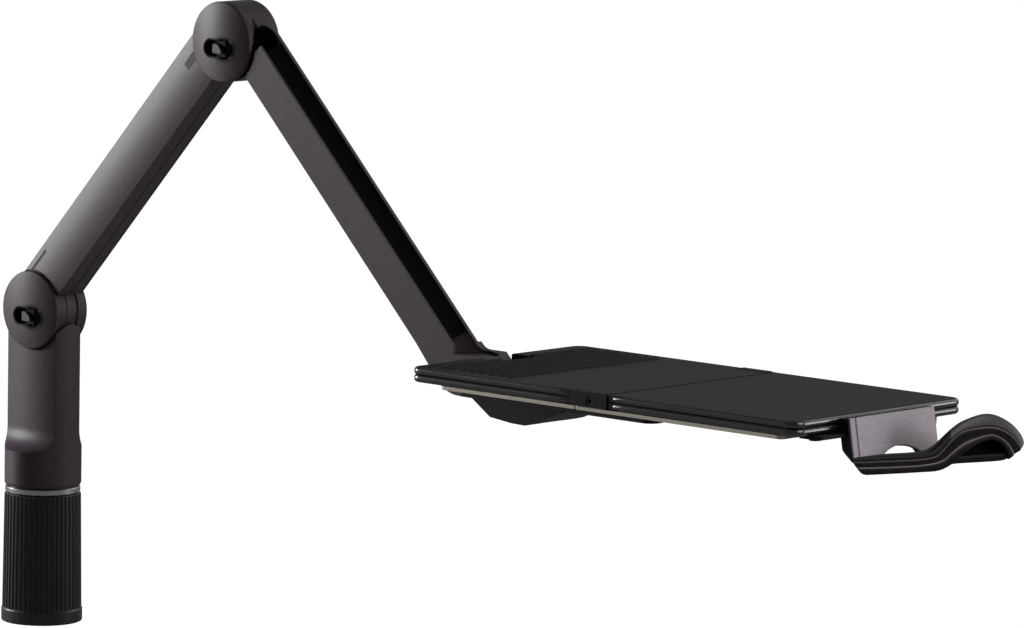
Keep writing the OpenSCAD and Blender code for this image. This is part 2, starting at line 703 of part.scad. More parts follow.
// Bolt from the far side into a nut held in the near ear
module tilt_bolt() color(steel) translate(tilt) difference() {
    union() {
        y_cyl(bolt_r, -bracket_half + 2.2, bracket_half - 3.4);
        mirror([0, 1, 0]) rimmed_disc(6.8, -bracket_half + 0.3, -bracket_half + 3.5, 1.2);
    }
    y_cyl(2.9, bracket_half - 2, bracket_half + over, $fn = 6);
}

module tilt_nut() color(steel) translate(tilt) difference() {
    y_cyl(7.5, tilt_nut_y[0], tilt_nut_y[1], $fn = 6);
    y_cyl(bolt_r + bolt_clear, tilt_nut_y[0] - over, tilt_nut_y[1] + over);
}

module tilt_washers() color(steel) translate(tilt)
    for (s = [-1, 1])
        ring_washer(7.5, s > 0 ? tongue_half + 0.03 : -tongue_half - 0.27,
                    s > 0 ? tongue_half + 0.27 : -tongue_half - 0.03);

// Tray: two moulded decks, the front one with a tongue that runs inside the rear one

// Edge of a deck: upper bead, groove, lower bead, all with round outer corners
module deck_blank(x0, x1, r0, r1) {
    groove_z = deck_z + 0.52 * deck_t;
    bead = 1.5;
    union() {
        translate([0, 0, deck_z + 0.6]) linear_extrude(groove_z - deck_z - 0.95)
            plan_plate(x0, x1, half_w, r0, r1);
        translate([0, 0, deck_z]) linear_extrude(deck_t - 0.01)
            plan_plate(x0 + 0.9, x1 - 0.9, half_w - 0.9, r0 - 0.9 > 0.2 ? r0 - 0.9 : 0.2, r1 - 0.9 > 0.2 ? r1 - 0.9 : 0.2);
        translate([0, 0, groove_z + 0.35]) linear_extrude(deck_top - groove_z - 0.35 - 0.55)
            plan_plate(x0, x1, half_w, r0, r1);
        translate([0, 0, deck_top - 0.56]) linear_extrude(0.31)
            plan_plate(x0 + 0.3, x1 - 0.3, half_w - 0.3, r0 - 0.3 > 0.2 ? r0 - 0.3 : 0.2, r1 - 0.3 > 0.2 ? r1 - 0.3 : 0.2);
    }
}

module tray_rear() color(black) difference() {
    pad_x = back_x + 11;
    pad_half = half_w - 7;
    union() {
        difference() {
            deck_blank(back_x, split_x, back_corner_r, 0.4);
            // Bays for the side clamps
            for (s = [-1, 1])
                translate([clamp_x - 0.1, s * (half_w - clamp_t / 2 + 0.9), deck_z + deck_t / 2])
                    translate([(clamp_len + over) / 2, 0, 0]) cube([clamp_len + over, clamp_t + 2, deck_t + 2], center = true);
        }
        // Ribs of the rest pad
        for (i = [0 : rib_count - 1])
            translate([pad_x + 3 + i * rib_pitch, -pad_half + 1, deck_top - 0.1])
                rotate([-90, 0, 0]) cylinder(r = 1.15, h = 2 * (pad_half - 1), $fn = 32);
    }
    // Hollow for the tongue of the front half
    block([split_x - slide_tongue - 3, -half_w + side_wall + 2.4, deck_z - over],
          [split_x + over, half_w - side_wall - 2.4, deck_top - skin_t]);
    // Hollow over the bracket
    block([back_x + 25, -half_w + side_wall, deck_z - over],
          [split_x - slide_tongue - 5.5, half_w - side_wall, deck_top - skin_t - 0.5]);
    // Notch for the foot of the upper arm
    block([back_x - over, -notch_half, deck_z - over], [back_x + notch_len, notch_half, deck_top + 2 * over]);
}

module tray_rear_plate() color(steel) difference() {
    translate([0, 0, plate_z]) linear_extrude(plate_t)
        plan_plate(rear_plate_x, clamp_x + 1, half_w - 0.3, 2, 0.4);
    for (x = [-7, 25], s = [-1, 1])
        translate([tilt[0] + x, s * (bracket_half + 4.5), plate_z - over]) cylinder(r = 2.05, h = 6);
    if (rear_plate_x < back_x + notch_len + 3)
        block([back_x, -notch_half, plate_z - over], [back_x + notch_len + 3, notch_half, plate_z + 4]);
}

// Guide rail under the plates: the front half slides along it
module slide_rail(side) color(black)
    translate([0, 0, rail_z]) linear_extrude(rail_t) translate([0, side * (half_w - 1 - rail_w / 2)])
        plan_plate(rear_plate_x + 12, rail_x1, rail_w / 2, 2, rail_w / 2 - 0.5);
module slide_rail_near() slide_rail(-1);
module slide_rail_far() slide_rail(1);

// Side clamp let into the edge of the rear half, with its screw
module side_clamp(side) color(black) mirror([0, side > 0 ? 1 : 0, 0]) difference() {
    union() {
        block([clamp_x, -half_w - 0.5, deck_z + 0.1], [split_x - 0.1, -half_w + clamp_t - 0.3, deck_top - 0.2]);
        block([clamp_x + 2, -half_w, deck_top - 0.3], [split_x - 2, -half_w + clamp_t - 0.8, deck_top + 0.2]);
    }
    translate([(clamp_x + split_x) / 2, 0, deck_z + 3.1]) y_cyl(clamp_screw_r + fit, -half_w - over, -half_w + 4.6);
}
module side_clamp_near() side_clamp(-1);
module side_clamp_far() side_clamp(1);

module clamp_screw(side) color(steel) mirror([0, side > 0 ? 1 : 0, 0])
    translate([(clamp_x + split_x) / 2, 0, deck_z + 3.1]) difference() {
        y_cyl(clamp_screw_r, -half_w - 0.2, -half_w + 4.5);
        y_cyl(1.3, -half_w - over, -half_w + 1.6, $fn = 6);
    }
module clamp_screw_near() clamp_screw(-1);
module clamp_screw_far() clamp_screw(1);

module tray_front() color(black) union() {
    difference() {
        deck_blank(split_x + 0.3, front_x, 0.4, front_corner_r);
        // Hollow under the deck
        block([split_x + 8, -half_w + side_wall, deck_z - over],
              [front_x - 12, half_w - side_wall, deck_top - skin_t]);
        for (y = [-stop_screw_y, stop_screw_y])
            translate([front_x - 4.5, y, deck_z - over]) cylinder(r = 1.6, h = 3.4 + over);
    }
    // Tongue inside the rear half, and the ribs that stiffen the hollow
    block([split_x - slide_tongue, -half_w + side_wall + 2.7, tongue_z0],
          [split_x + 8.5, half_w - side_wall - 2.7, tongue_z1]);
    for (y = [-30, 0, 30])
        block([split_x + 8, y - 0.9, deck_z + 0.2], [front_x - 11.5, y + 0.9, deck_top - skin_t + 0.1]);
}

module tray_front_plate() color(steel) translate([0, 0, plate_z]) linear_extrude(plate_t)
    plan_plate(clamp_x + 1.6, front_plate_x1, half_w - 0.3, 0.4, 3);

// Front stop: a black upright on a flange under the deck, a grey plate on its face and a
// half-moon notch through both

module notch_outline() {
    r = (notch_w * notch_w / 4 + notch_h * notch_h) / (2 * notch_h);
    translate([3, notch_h - r]) circle(r);
}

// Drawn flat, then leaned: X across the tray, Y up, Z out of the face
module on_stop() {
    translate([stop_x + stop_t, 0, stop_top]) rotate([0, -stop_lean, 0])
        translate([0, 0, -stop_h]) rotate([90, 0, 90]) children();
}

module stop_outline(inset) difference() {
    translate([-stop_w / 2 + inset, 0]) square([stop_w - 2 * inset, stop_h - inset]);
    notch_outline();
}

module front_bracket() color(black) union() {
    leg_w = (stop_w - notch_w) / 2 + 2.5;
    difference() {
        union() {
            // Upright, with a leg on the near side that stands in the web
            on_stop() translate([0, 0, -stop_t + 1.2]) linear_extrude(stop_t - 1.2) difference() {
                union() {
                    translate([-stop_w / 2, 0]) square([stop_w, stop_h]);
                    translate([-stop_w / 2, -web_h + 0.6]) square([leg_w, web_h]);
                }
                notch_outline();
            }
            // Flange under the deck
            block([front_plate_x1 + 0.4, -half_w + 11, plate_z], [stop_x + 4.2, half_w - 11, plate_z + plate_t]);
        }
        for (y = [-stop_screw_y, stop_screw_y])
            translate([front_x - 4.5, y, plate_z - over]) cylinder(r = 1.6, h = 6);
    }
    // Web that carries the grip
    translate([0, 0, grip_z + 2]) linear_extrude(web_h) polygon([
        [web_x0, 0.3 - stop_w / 2], [web_x1, 0.3 - stop_w / 2], [web_x1, web_y],
        grip_back + 42 * grip_g, grip_back + 40 * grip_g - [4, 0],
        [web_x1 - 1, web_y + 9], [web_x0, -notch_w / 2 + 3]
    ]);
}

module front_bracket_screws() color(steel)
    for (y = [-stop_screw_y, stop_screw_y])
        translate([front_x - 4.5, y, plate_z]) union() {
            translate([0, 0, -1.6]) cylinder(r = 2.9, h = 1.58);
            translate([0, 0, -0.1]) cylinder(r = 1.55, h = 4.4);
        }

module front_plate() color(plate_grey) on_stop() difference() {
    union() {
        linear_extrude(stop_plate_t - 0.5) stop_outline(0.4);
        linear_extrude(stop_plate_t) intersection() {
            stop_outline(0.4);
            translate([-stop_w / 2 + 4.5, 0]) square([stop_w - 9, stop_h - 0.4]);
        }
    }
}

// Pull grip: a moulded bar that runs out from the stop and rises into a ribbed arch with a
// finger hollow. Drawn with X along the bar and Y up, then turned in plan.

module grip_frame() {
    translate([grip_root[0], grip_root[1], grip_z]) rotate([0, 0, 90 - grip_turn])
        rotate([90, 0, 0]) children();
}

// Points of the grip: a is the distance from the middle of the arch, b the height
function on_arch(p) = [for (q = p) [arch_x + q[0], q[1] * arch_r / 27]];

// Whole outline of the grip
module grip_outline() polygon(concat(
    smooth(concat([[-4, grip_h], [grip_bar - 6, grip_h]], on_arch([
        [-25.4, 11.7], [-18.1, 19.2], [-8.7, 25], [0.8, 27.6], [8.3, 26.7], [16, 22.7], [21.3, 17.4],
        [23.6, 13], [22, 10], [15.2, 5.5], [12.5, 3.8]
    ])), 2),
    [[arch_x - 17.7, 3.8], [grip_bar, 0.8], [5.6, 0.8], [-4, grip_h - 0.7]]
));

// The two ribs that stand out from it; each follows the arch and ends on the bar
module outer_rib() polygon(concat(
    smooth(concat([[4, 7.1], [grip_bar - 4, 7.1]], on_arch([
        [-22.5, 9.6], [-18, 14.6], [-13.1, 18.6], [-5.5, 20.8], [3.1, 21.2], [13.4, 18.2], [17.8, 14.3], [20.3, 9.9]
    ])), 2),
    [[arch_x + 15, 6], [arch_x + 12.2, 4.2], [arch_x - 17.5, 4.2], [grip_bar, 1.3], [6, 1.3]]
));

module inner_rib() polygon(concat(
    smooth(concat([[6, 4.1], [grip_bar - 2, 4.1]], on_arch([
        [-20.5, 6.6], [-14, 11.4], [-6.3, 15.2], [3.2, 17.6], [10.8, 15.3], [14.8, 11.7], [17, 7.6]
    ])), 2),
    [[arch_x + 14.7, 6.4], [arch_x + 12, 4.6], [arch_x - 17.3, 4.6], [grip_bar, 1.8], [7, 1.8]]
));

module finger_hollow() polygon(smooth(on_arch([
    [-12.5, 8.1], [-10, 8.8], [-7.5, 11.3], [-2.1, 14], [3.2, 15.5], [9.3, 14.2], [12.4, 11.2], [13.6, 8.1]
]), 2));

module pull_grip() color(black) difference() {
    grip_frame() difference() {
        union() {
            translate([0, 0, -grip_d]) linear_extrude(grip_d) grip_outline();
            translate([0, 0, -0.1]) linear_extrude(grip_step + 0.1) outer_rib();
            translate([0, 0, -0.1]) linear_extrude(2 * grip_step + 0.1) inner_rib();
        }
        translate([0, 0, 2 - grip_d]) linear_extrude(2 * grip_d) finger_hollow();
    }
    // The near end stops in front of the grey plate
    block([stop_x - 8, -stop_w, grip_z - over], [web_x1, stop_w, grip_z + 3 * grip_h]);
}

base_sleeve();
base_spindle();
bearing_ring();
slip_washer();
column();
column_grub_screw();
arm_lower();
arm_lower_cover();
lower_hinge_cap();
lower_adjuster_insert();
lower_adjusting_screw();
lower_pivot_bolt();
lower_pivot_nut();
lower_friction_washer();
upper_hinge_cap();
upper_adjuster_insert();
upper_adjusting_screw();
upper_pivot_bolt();
upper_pivot_nut();
upper_friction_washer();
arm_upper();
tray_bracket();
bracket_screws();
tilt_bolt();
tilt_nut();
tilt_washers();
tray_rear();
tray_rear_plate();
slide_rail_near();
slide_rail_far();
side_clamp_near();
side_clamp_far();
clamp_screw_near();
clamp_screw_far();
tray_front();
tray_front_plate();
front_bracket();
front_bracket_screws();
front_plate();
pull_grip();
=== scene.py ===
"""Looks of a swivel desk stand: finishes, moulded detail, studio and camera round its CAD frame.

Lengths are metres in the row frame: Z up, X the way the arm reaches, origin under the base.
"""

from __future__ import annotations

import logging
import math
from dataclasses import dataclass, replace
from enum import Enum
from typing import Any, Iterable, Sequence

import bmesh
import bpy
from mathutils import Matrix, Vector

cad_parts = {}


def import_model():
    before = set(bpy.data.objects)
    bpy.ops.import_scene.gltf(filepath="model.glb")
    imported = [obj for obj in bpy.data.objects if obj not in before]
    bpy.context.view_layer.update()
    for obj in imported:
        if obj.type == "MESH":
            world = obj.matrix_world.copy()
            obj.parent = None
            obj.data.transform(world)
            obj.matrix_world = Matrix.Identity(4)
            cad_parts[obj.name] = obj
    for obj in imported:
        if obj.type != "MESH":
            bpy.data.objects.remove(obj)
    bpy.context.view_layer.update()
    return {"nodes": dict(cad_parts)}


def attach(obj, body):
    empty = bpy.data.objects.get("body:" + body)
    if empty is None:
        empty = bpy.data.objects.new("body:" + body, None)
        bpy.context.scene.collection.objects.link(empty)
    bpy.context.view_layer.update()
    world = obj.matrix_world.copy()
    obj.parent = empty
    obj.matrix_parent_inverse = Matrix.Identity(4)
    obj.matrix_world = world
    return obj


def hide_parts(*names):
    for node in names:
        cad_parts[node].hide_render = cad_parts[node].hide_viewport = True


LOG = logging.getLogger("desk_stand")
MM = 0.001
# Corners of a lofted side face; only the caps have more
QUAD = 4
# Sockets of a colour Mix node: its first and second colour, and its result
MIX_FIRST, MIX_SECOND, MIX_RESULT = 6, 7, 2


class Body(Enum):
    """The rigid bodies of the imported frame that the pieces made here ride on."""

    UPPER_ARM = "upper_arm"
    TRAY = "tray"
    TRAY_END = "tray_end"


def srgb(code: str) -> tuple[float, float, float, float]:
    """Turns an sRGB hex colour into linear RGBA.

    Args:
        code: Colour such as "#3a3638".

    Returns:
        Linear red, green, blue and an alpha of 1.
    """
    parts = [int(code.lstrip("#")[i : i + 2], 16) / 255 for i in (0, 2, 4)]
    linear = [v / 12.92 if v <= 0.04045 else ((v + 0.055) / 1.055) ** 2.4 for v in parts]
    return (linear[0], linear[1], linear[2], 1.0)


def add_node(
    tree: bpy.types.NodeTree,
    kind: str,
    settings: dict[str | int, Any] | None = None,
    links: dict[str | int, bpy.types.NodeSocket] | None = None,
) -> bpy.types.Node:
    """Adds one shader node with its settings and its incoming links.

    Args:
        tree: Node tree that takes the node.
        kind: Blender's node type name.
        settings: Node attributes, or input values where the key names or numbers an input.
        links: Input name or number to the socket that feeds it.

    Returns:
        The new node.
    """
    node = tree.nodes.new(kind)
    for key, value in (settings or {}).items():
        if isinstance(key, int) or key in node.inputs:
            node.inputs[key].default_value = value
        else:
            setattr(node, key, value)
    for key, socket in (links or {}).items():
        tree.links.new(socket, node.inputs[key])
    return node


def per_metre(feature_mm: float) -> float:
    """Texture scale, in cycles per metre, of a feature of that size in millimetres."""
    return 1.0 / (feature_mm * MM)


@dataclass(frozen=True)
class Crown:
    """A shallow crown that a cast face has, shaded as a bump over the plain face of the frame."""

    centre: tuple[float, float]
    reach_mm: float
    tilt_deg: float
    weights: tuple[float, float] = (1.0, 1.0)

    def build(
        self, tree: bpy.types.NodeTree, place: bpy.types.NodeSocket, normal: bpy.types.NodeSocket
    ) -> bpy.types.NodeSocket:
        """Adds the crown to a normal.

        Args:
            tree: Node tree of the material.
            place: Socket with the object's own coordinates.
            normal: Normal socket that the crown bends.

        Returns:
            The bent normal.
        """
        axes = add_node(tree, "ShaderNodeSeparateXYZ", links={"Vector": place})
        steep = math.tan(math.radians(self.tilt_deg)) / (2 * self.reach_mm * MM)
        squares = []
        for axis, middle, weight in zip(("X", "Z"), self.centre, self.weights):
            offset = add_node(
                tree,
                "ShaderNodeMath",
                {"operation": "SUBTRACT", 1: middle},
                {0: axes.outputs[axis]},
            )
            square = add_node(
                tree,
                "ShaderNodeMath",
                {"operation": "MULTIPLY"},
                {0: offset.outputs[0], 1: offset.outputs[0]},
            )
            fall = add_node(
                tree,
                "ShaderNodeMath",
                {"operation": "MULTIPLY", 1: -steep * weight},
                {0: square.outputs[0]},
            )
            squares.append(fall.outputs[0])
        height = add_node(
            tree, "ShaderNodeMath", {"operation": "ADD"}, {0: squares[0], 1: squares[1]}
        )
        bump = add_node(
            tree,
            "ShaderNodeBump",
            {"Strength": 1.0, "Distance": 1.0},
            {"Height": height.outputs[0], "Normal": normal},
        )
        return bump.outputs["Normal"]


@dataclass(frozen=True)
class PaintedShade:
    """Painted shade: a dark patch on the colour round a window or in the mouth of the trough."""

    centre: tuple[float, float, float]
    reach_mm: tuple[float, float, float]
    full: float = 0.55
    colour: str = "#0a090a"

    def share(
        self, tree: bpy.types.NodeTree, place: bpy.types.NodeSocket
    ) -> bpy.types.NodeSocket:
        """How strong the painted shade lies, from 0 to 1.

        Args:
            tree: Node tree of the material.
            place: Socket with the object's own coordinates.

        Returns:
            The share of the painted shade at each point.
        """
        scale = [1.0 / (r * MM) for r in self.reach_mm]
        near = add_node(
            tree,
            "ShaderNodeMapping",
            {
                "Location": tuple(-c * k for c, k in zip(self.centre, scale)),
                "Scale": tuple(scale),
            },
            {"Vector": place},
        )
        far = add_node(
            tree, "ShaderNodeVectorMath", {"operation": "LENGTH"}, {0: near.outputs["Vector"]}
        )
        share = add_node(
            tree,
            "ShaderNodeMapRange",
            {"interpolation_type": "SMOOTHSTEP", "From Min": 1.0, "From Max": self.full},
            {"Value": far.outputs["Value"]},
        )
        return share.outputs["Result"]

    def apply_shade(
        self,
        tree: bpy.types.NodeTree,
        share: bpy.types.NodeSocket,
        colour: bpy.types.NodeSocket,
    ) -> bpy.types.NodeSocket:
        """Darkens a colour by the painted shade.

        Args:
            tree: Node tree of the material.
            share: Share of the painted shade.
            colour: Clean colour.

        Returns:
            The colour with the film on it.
        """
        darkened = add_node(
            tree,
            "ShaderNodeMix",
            {"data_type": "RGBA", MIX_SECOND: srgb(self.colour)},
            {"Factor": share, MIX_FIRST: colour},
        )
        return darkened.outputs[MIX_RESULT]


@dataclass(frozen=True)
class Finish:
    """A surface finish: a base colour, its gloss, and a grain that tints and roughens it.

    Edges are lightened for wear and as a painted highlight; the lightening starts and is full
    where the cosine of the turn over an edge falls to edge_turn.
    """

    name: str
    colour: str
    grain_colour: str
    roughness: float
    metallic: float = 0.0
    ior: float = 1.5
    grain_mm: float = 0.5
    grain_depth_mm: float = 0.02
    grain_amount: float = 0.5
    grain_low: float = 0.45
    grain_high: float = 0.62
    stretch: tuple[float, float, float] = (1.0, 1.0, 1.0)
    cloud_mm: float = 60.0
    cloud_amount: float = 0.08
    roughness_swing: float = 0.08
    edge_round_mm: float = 0.35
    edge_wear_and_glint: float = 0.0
    edge_turn: tuple[float, float] = (0.995, 0.9)
    specular: float = 0.5
    crown: Crown | None = None
    painted_shade: PaintedShade | None = None

    def build(self) -> bpy.types.Material:
        """Builds the node material.

        Returns:
            The material.
        """
        material = bpy.data.materials.new(self.name)
        material.use_nodes = True
        tree = material.node_tree
        tree.nodes.clear()
        place = add_node(tree, "ShaderNodeTexCoord").outputs["Object"]
        mapped = add_node(tree, "ShaderNodeMapping", {"Scale": self.stretch}, {"Vector": place})
        grain = add_node(
            tree,
            "ShaderNodeTexNoise",
            {"Scale": per_metre(self.grain_mm), "Detail": 3.0, "Roughness": 0.65},
            {"Vector": mapped.outputs["Vector"]},
        ).outputs["Fac"]
        gloss = add_node(
            tree,
            "ShaderNodeMapRange",
            {
                "To Min": self.roughness - self.roughness_swing,
                "To Max": self.roughness + self.roughness_swing,
            },
            {"Value": grain},
        )
        rounded = add_node(
            tree, "ShaderNodeBevel", {"samples": 4, "Radius": self.edge_round_mm * MM}
        )
        normal = rounded.outputs["Normal"]
        colour = self._edge_wear_and_glint(tree, normal, self._tone(tree, place, grain))
        dulled: dict[str | int, bpy.types.NodeSocket] = {}
        # Painted shade: darkens the colour and takes the sheen off where it lies
        if self.painted_shade is not None:
            share = self.painted_shade.share(tree, place)
            colour = self.painted_shade.apply_shade(tree, share, colour)
            dull = add_node(
                tree,
                "ShaderNodeMapRange",
                {"To Min": self.specular, "To Max": 0.0},
                {"Value": share},
            )
            dulled["Specular IOR Level"] = dull.outputs["Result"]
        if self.crown is not None:
            normal = self.crown.build(tree, place, normal)
        relief = add_node(
            tree,
            "ShaderNodeBump",
            {"Strength": 1.0, "Distance": self.grain_depth_mm * MM},
            {"Height": grain, "Normal": normal},
        )
        surface = add_node(
            tree,
            "ShaderNodeBsdfPrincipled",
            {
                "Metallic": self.metallic,
                "IOR": self.ior,
                "Specular IOR Level": self.specular,
            },
            {
                "Base Color": colour,
                "Roughness": gloss.outputs["Result"],
                "Normal": relief.outputs["Normal"],
                **dulled,
            },
        )
        add_node(tree, "ShaderNodeOutputMaterial", {}, {"Surface": surface.outputs["BSDF"]})
        return material

    def _tone(
        self,
        tree: bpy.types.NodeTree,
        place: bpy.types.NodeSocket,
        grain: bpy.types.NodeSocket,
    ) -> bpy.types.NodeSocket:
        """Tints the colour with its grains and lets it drift in soft clouds.

        Args:
            tree: Node tree of the material.
            place: Socket with the object's own coordinates.
            grain: Socket with the grain, from 0 to 1.

        Returns:
            The colour of the unworn surface.
        """
        cloud = add_node(
            tree,
            "ShaderNodeTexNoise",
            {"Scale": per_metre(self.cloud_mm), "Detail": 2.0},
            {"Vector": place},
        )
        speck = add_node(
            tree,
            "ShaderNodeMapRange",
            {
                "interpolation_type": "SMOOTHSTEP",
                "From Min": self.grain_low,
                "From Max": self.grain_high,
                "To Max": self.grain_amount,
            },
            {"Value": grain},
        )
        tint = add_node(
            tree,
            "ShaderNodeMix",
            {
                "data_type": "RGBA",
                MIX_FIRST: srgb(self.colour),
                MIX_SECOND: srgb(self.grain_colour),
            },
            {"Factor": speck.outputs["Result"]},
        )
        shade = add_node(
            tree,
            "ShaderNodeMapRange",
            {"To Min": 1.0 - self.cloud_amount, "To Max": 1.0 + self.cloud_amount},
            {"Value": cloud.outputs["Fac"]},
        )
        tone = add_node(
            tree,
            "ShaderNodeHueSaturation",
            {},
            {"Value": shade.outputs["Result"], "Color": tint.outputs[MIX_RESULT]},
        )
        return tone.outputs["Color"]

    def _edge_wear_and_glint(
        self,
        tree: bpy.types.NodeTree,
        rounded: bpy.types.NodeSocket,
        colour: bpy.types.NodeSocket,
    ) -> bpy.types.NodeSocket:
        """Lightens the colour at the edges, for wear and as a painted highlight where they catch
        light.

        Args:
            tree: Node tree of the material.
            rounded: Normal that is smoothed over the edges.
            colour: Colour away from the edges.

        Returns:
            The colour with its lightened edges.
        """
        if self.edge_wear_and_glint <= 0.0:
            return colour
        plain = add_node(tree, "ShaderNodeNewGeometry")
        along = add_node(
            tree,
            "ShaderNodeVectorMath",
            {"operation": "DOT_PRODUCT"},
            {0: plain.outputs["Normal"], 1: rounded},
        )
        edge = add_node(
            tree,
            "ShaderNodeMapRange",
            {
                "From Min": self.edge_turn[0],
                "From Max": self.edge_turn[1],
                "To Max": self.edge_wear_and_glint,
            },
            {"Value": along.outputs["Value"]},
        )
        edge_tinted = add_node(
            tree,
            "ShaderNodeMix",
            {"data_type": "RGBA", MIX_SECOND: srgb(self.grain_colour)},
            {"Factor": edge.outputs["Result"], MIX_FIRST: colour},
        )
        return edge_tinted.outputs[MIX_RESULT]


# Polyester powder coat on die-cast aluminium: warm matt charcoal, a very fine sparkle of grains.
# The real grain is about 0.3 mm; it is drawn at 0.62 mm so that it shows at this distance.
POWDER_COAT = Finish(
    name="powder_coat_charcoal",
    colour="#443a43",
    grain_colour="#857a86",
    roughness=0.48,
    grain_mm=0.62,
    grain_depth_mm=0.03,
    grain_amount=0.7,
    grain_low=0.52,
    grain_high=0.8,
    cloud_mm=26.0,
    cloud_amount=0.1,
    specular=0.3,
)
# The same coat on the crowned faces of the hinge caps, with painted shade round their adjuster
# windows
LOWER_CAP_COAT = replace(
    POWDER_COAT,
    name="powder_coat_lower_cap",
    crown=Crown(centre=(0.0, 0.1718), reach_mm=21.0, tilt_deg=20.0, weights=(1.0, 0.2)),
    painted_shade=PaintedShade(centre=(0.0022, -0.0106, 0.1681), reach_mm=(11.5, 90.0, 8.2)),
)
UPPER_CAP_COAT = replace(
    POWDER_COAT,
    name="powder_coat_upper_cap",
    crown=Crown(centre=(0.144448, 0.328337), reach_mm=21.0, tilt_deg=22.0, weights=(1.0, 0.2)),
    painted_shade=PaintedShade(centre=(0.14665, -0.0106, 0.3246), reach_mm=(11.5, 90.0, 8.2)),
)
# The same coat on the arms, with painted shade in the mouth of the cable trough
ARM_COAT = replace(
    POWDER_COAT,
    name="powder_coat_arm",
    painted_shade=PaintedShade(centre=(0.1662, -0.0012, 0.3297), reach_mm=(9.4, 8.2, 9.4), full=0.82),
)
# The same coat on the crowned flats of the column
COLUMN_COAT = replace(
    POWDER_COAT,
    name="powder_coat_column",
    crown=Crown(centre=(0.0, 0.0), reach_mm=19.0, tilt_deg=19.0, weights=(1.0, 0.0)),
)
# Glass-filled nylon, moulded in a spark-eroded tool: satin black with a faint grain
MOULDED_NYLON = Finish(
    name="moulded_nylon_black",
    colour="#111113",
    grain_colour="#2a2a2e",
    roughness=0.5,
    ior=1.53,
    grain_mm=0.6,
    grain_depth_mm=0.012,
    grain_amount=0.35,
    # Edges painted paler, for wear and as a painted highlight
    edge_wear_and_glint=0.3,
    specular=0.12,
)
# The same nylon on the round beads of the deck, polished by hands: its edges catch the light
BEAD_NYLON = replace(
    MOULDED_NYLON, name="bead_nylon_black", roughness=0.24, specular=1.0, grain_depth_mm=0.004
)
# Softer, greyer nylon of the sleeve, a little polished, its ridges paler for wear and as a
# painted highlight
FLUTED_NYLON = Finish(
    name="fluted_nylon_black",
    colour="#0e0e0f",
    grain_colour="#3a393b",
    roughness=0.36,
    ior=1.53,
    grain_mm=0.6,
    grain_depth_mm=0.015,
    grain_amount=0.25,
    edge_wear_and_glint=0.45,
)
# Grip in thermoplastic rubber over nylon: dark brown-grey, soft sheen, with painted highlights on
# its ridges
GRIP_RUBBER = Finish(
    name="grip_rubber_dark",
    colour="#130e0f",
    grain_colour="#3d3537",
    roughness=0.42,
    ior=1.52,
    grain_mm=0.7,
    grain_depth_mm=0.012,
    grain_amount=0.35,
    specular=0.16,
)
# The same rubber on top of the arch, painted pale for the light that falls there, and glossier
CREST_LIT_RUBBER = replace(
    GRIP_RUBBER, name="grip_rubber_crest_lit", colour="#3b3537", grain_colour="#686163", specular=0.42
)
# The same rubber on the crests of the ribs, painted pale as a highlight, and a little glossier
RIB_HIGHLIGHT_RUBBER = replace(
    GRIP_RUBBER,
    name="grip_rubber_rib_highlight",
    colour="#7d7274",
    grain_colour="#9a9192",
    roughness=0.38,
    specular=0.45,
)
# Turned and polished bearing steel: rings run round the axis, so the grain is stretched flat
TURNED_STEEL = Finish(
    name="turned_steel",
    colour="#b9b6b2",
    grain_colour="#8c8985",
    roughness=0.28,
    metallic=1.0,
    grain_mm=6.0,
    grain_depth_mm=0.004,
    stretch=(1.0, 1.0, 28.0),
)
# Zinc-plated sheet, rolled along the tray: faint long streaks
ZINC_SHEET = Finish(
    name="zinc_sheet",
    colour="#b3aca3",
    grain_colour="#97908a",
    roughness=0.42,
    metallic=1.0,
    grain_mm=8.0,
    grain_depth_mm=0.004,
    stretch=(0.6, 10.0, 10.0),
)
# Black zinc on steel fasteners: dark, slightly glossy
BLACK_ZINC = Finish(
    name="black_zinc_steel",
    colour="#2a2927",
    grain_colour="#3b3936",
    roughness=0.36,
    metallic=0.8,
    grain_mm=0.8,
    grain_depth_mm=0.006,
    edge_round_mm=0.2,
)
# Glass-filled nylon of the adjuster head: dull dark grey, worn pale by the key
ADJUSTER_NYLON = Finish(
    name="adjuster_nylon_grey",
    colour="#4b484c",
    grain_colour="#7b777c",
    roughness=0.5,
    grain_mm=0.6,
    grain_depth_mm=0.01,
    grain_amount=0.3,
    edge_round_mm=0.3,
)
# Satin anodised aluminium sheet: light warm grey, cloudy where it was brushed, its edges painted
# pale as a highlight
SATIN_ANODISED = Finish(
    name="satin_anodised_aluminium",
    colour="#9a9299",
    grain_colour="#b4aeb4",
    roughness=0.55,
    metallic=0.35,
    grain_mm=5.0,
    grain_depth_mm=0.006,
    stretch=(12.0, 0.8, 12.0),
    cloud_mm=9.0,
    cloud_amount=0.16,
    edge_wear_and_glint=0.9,
)

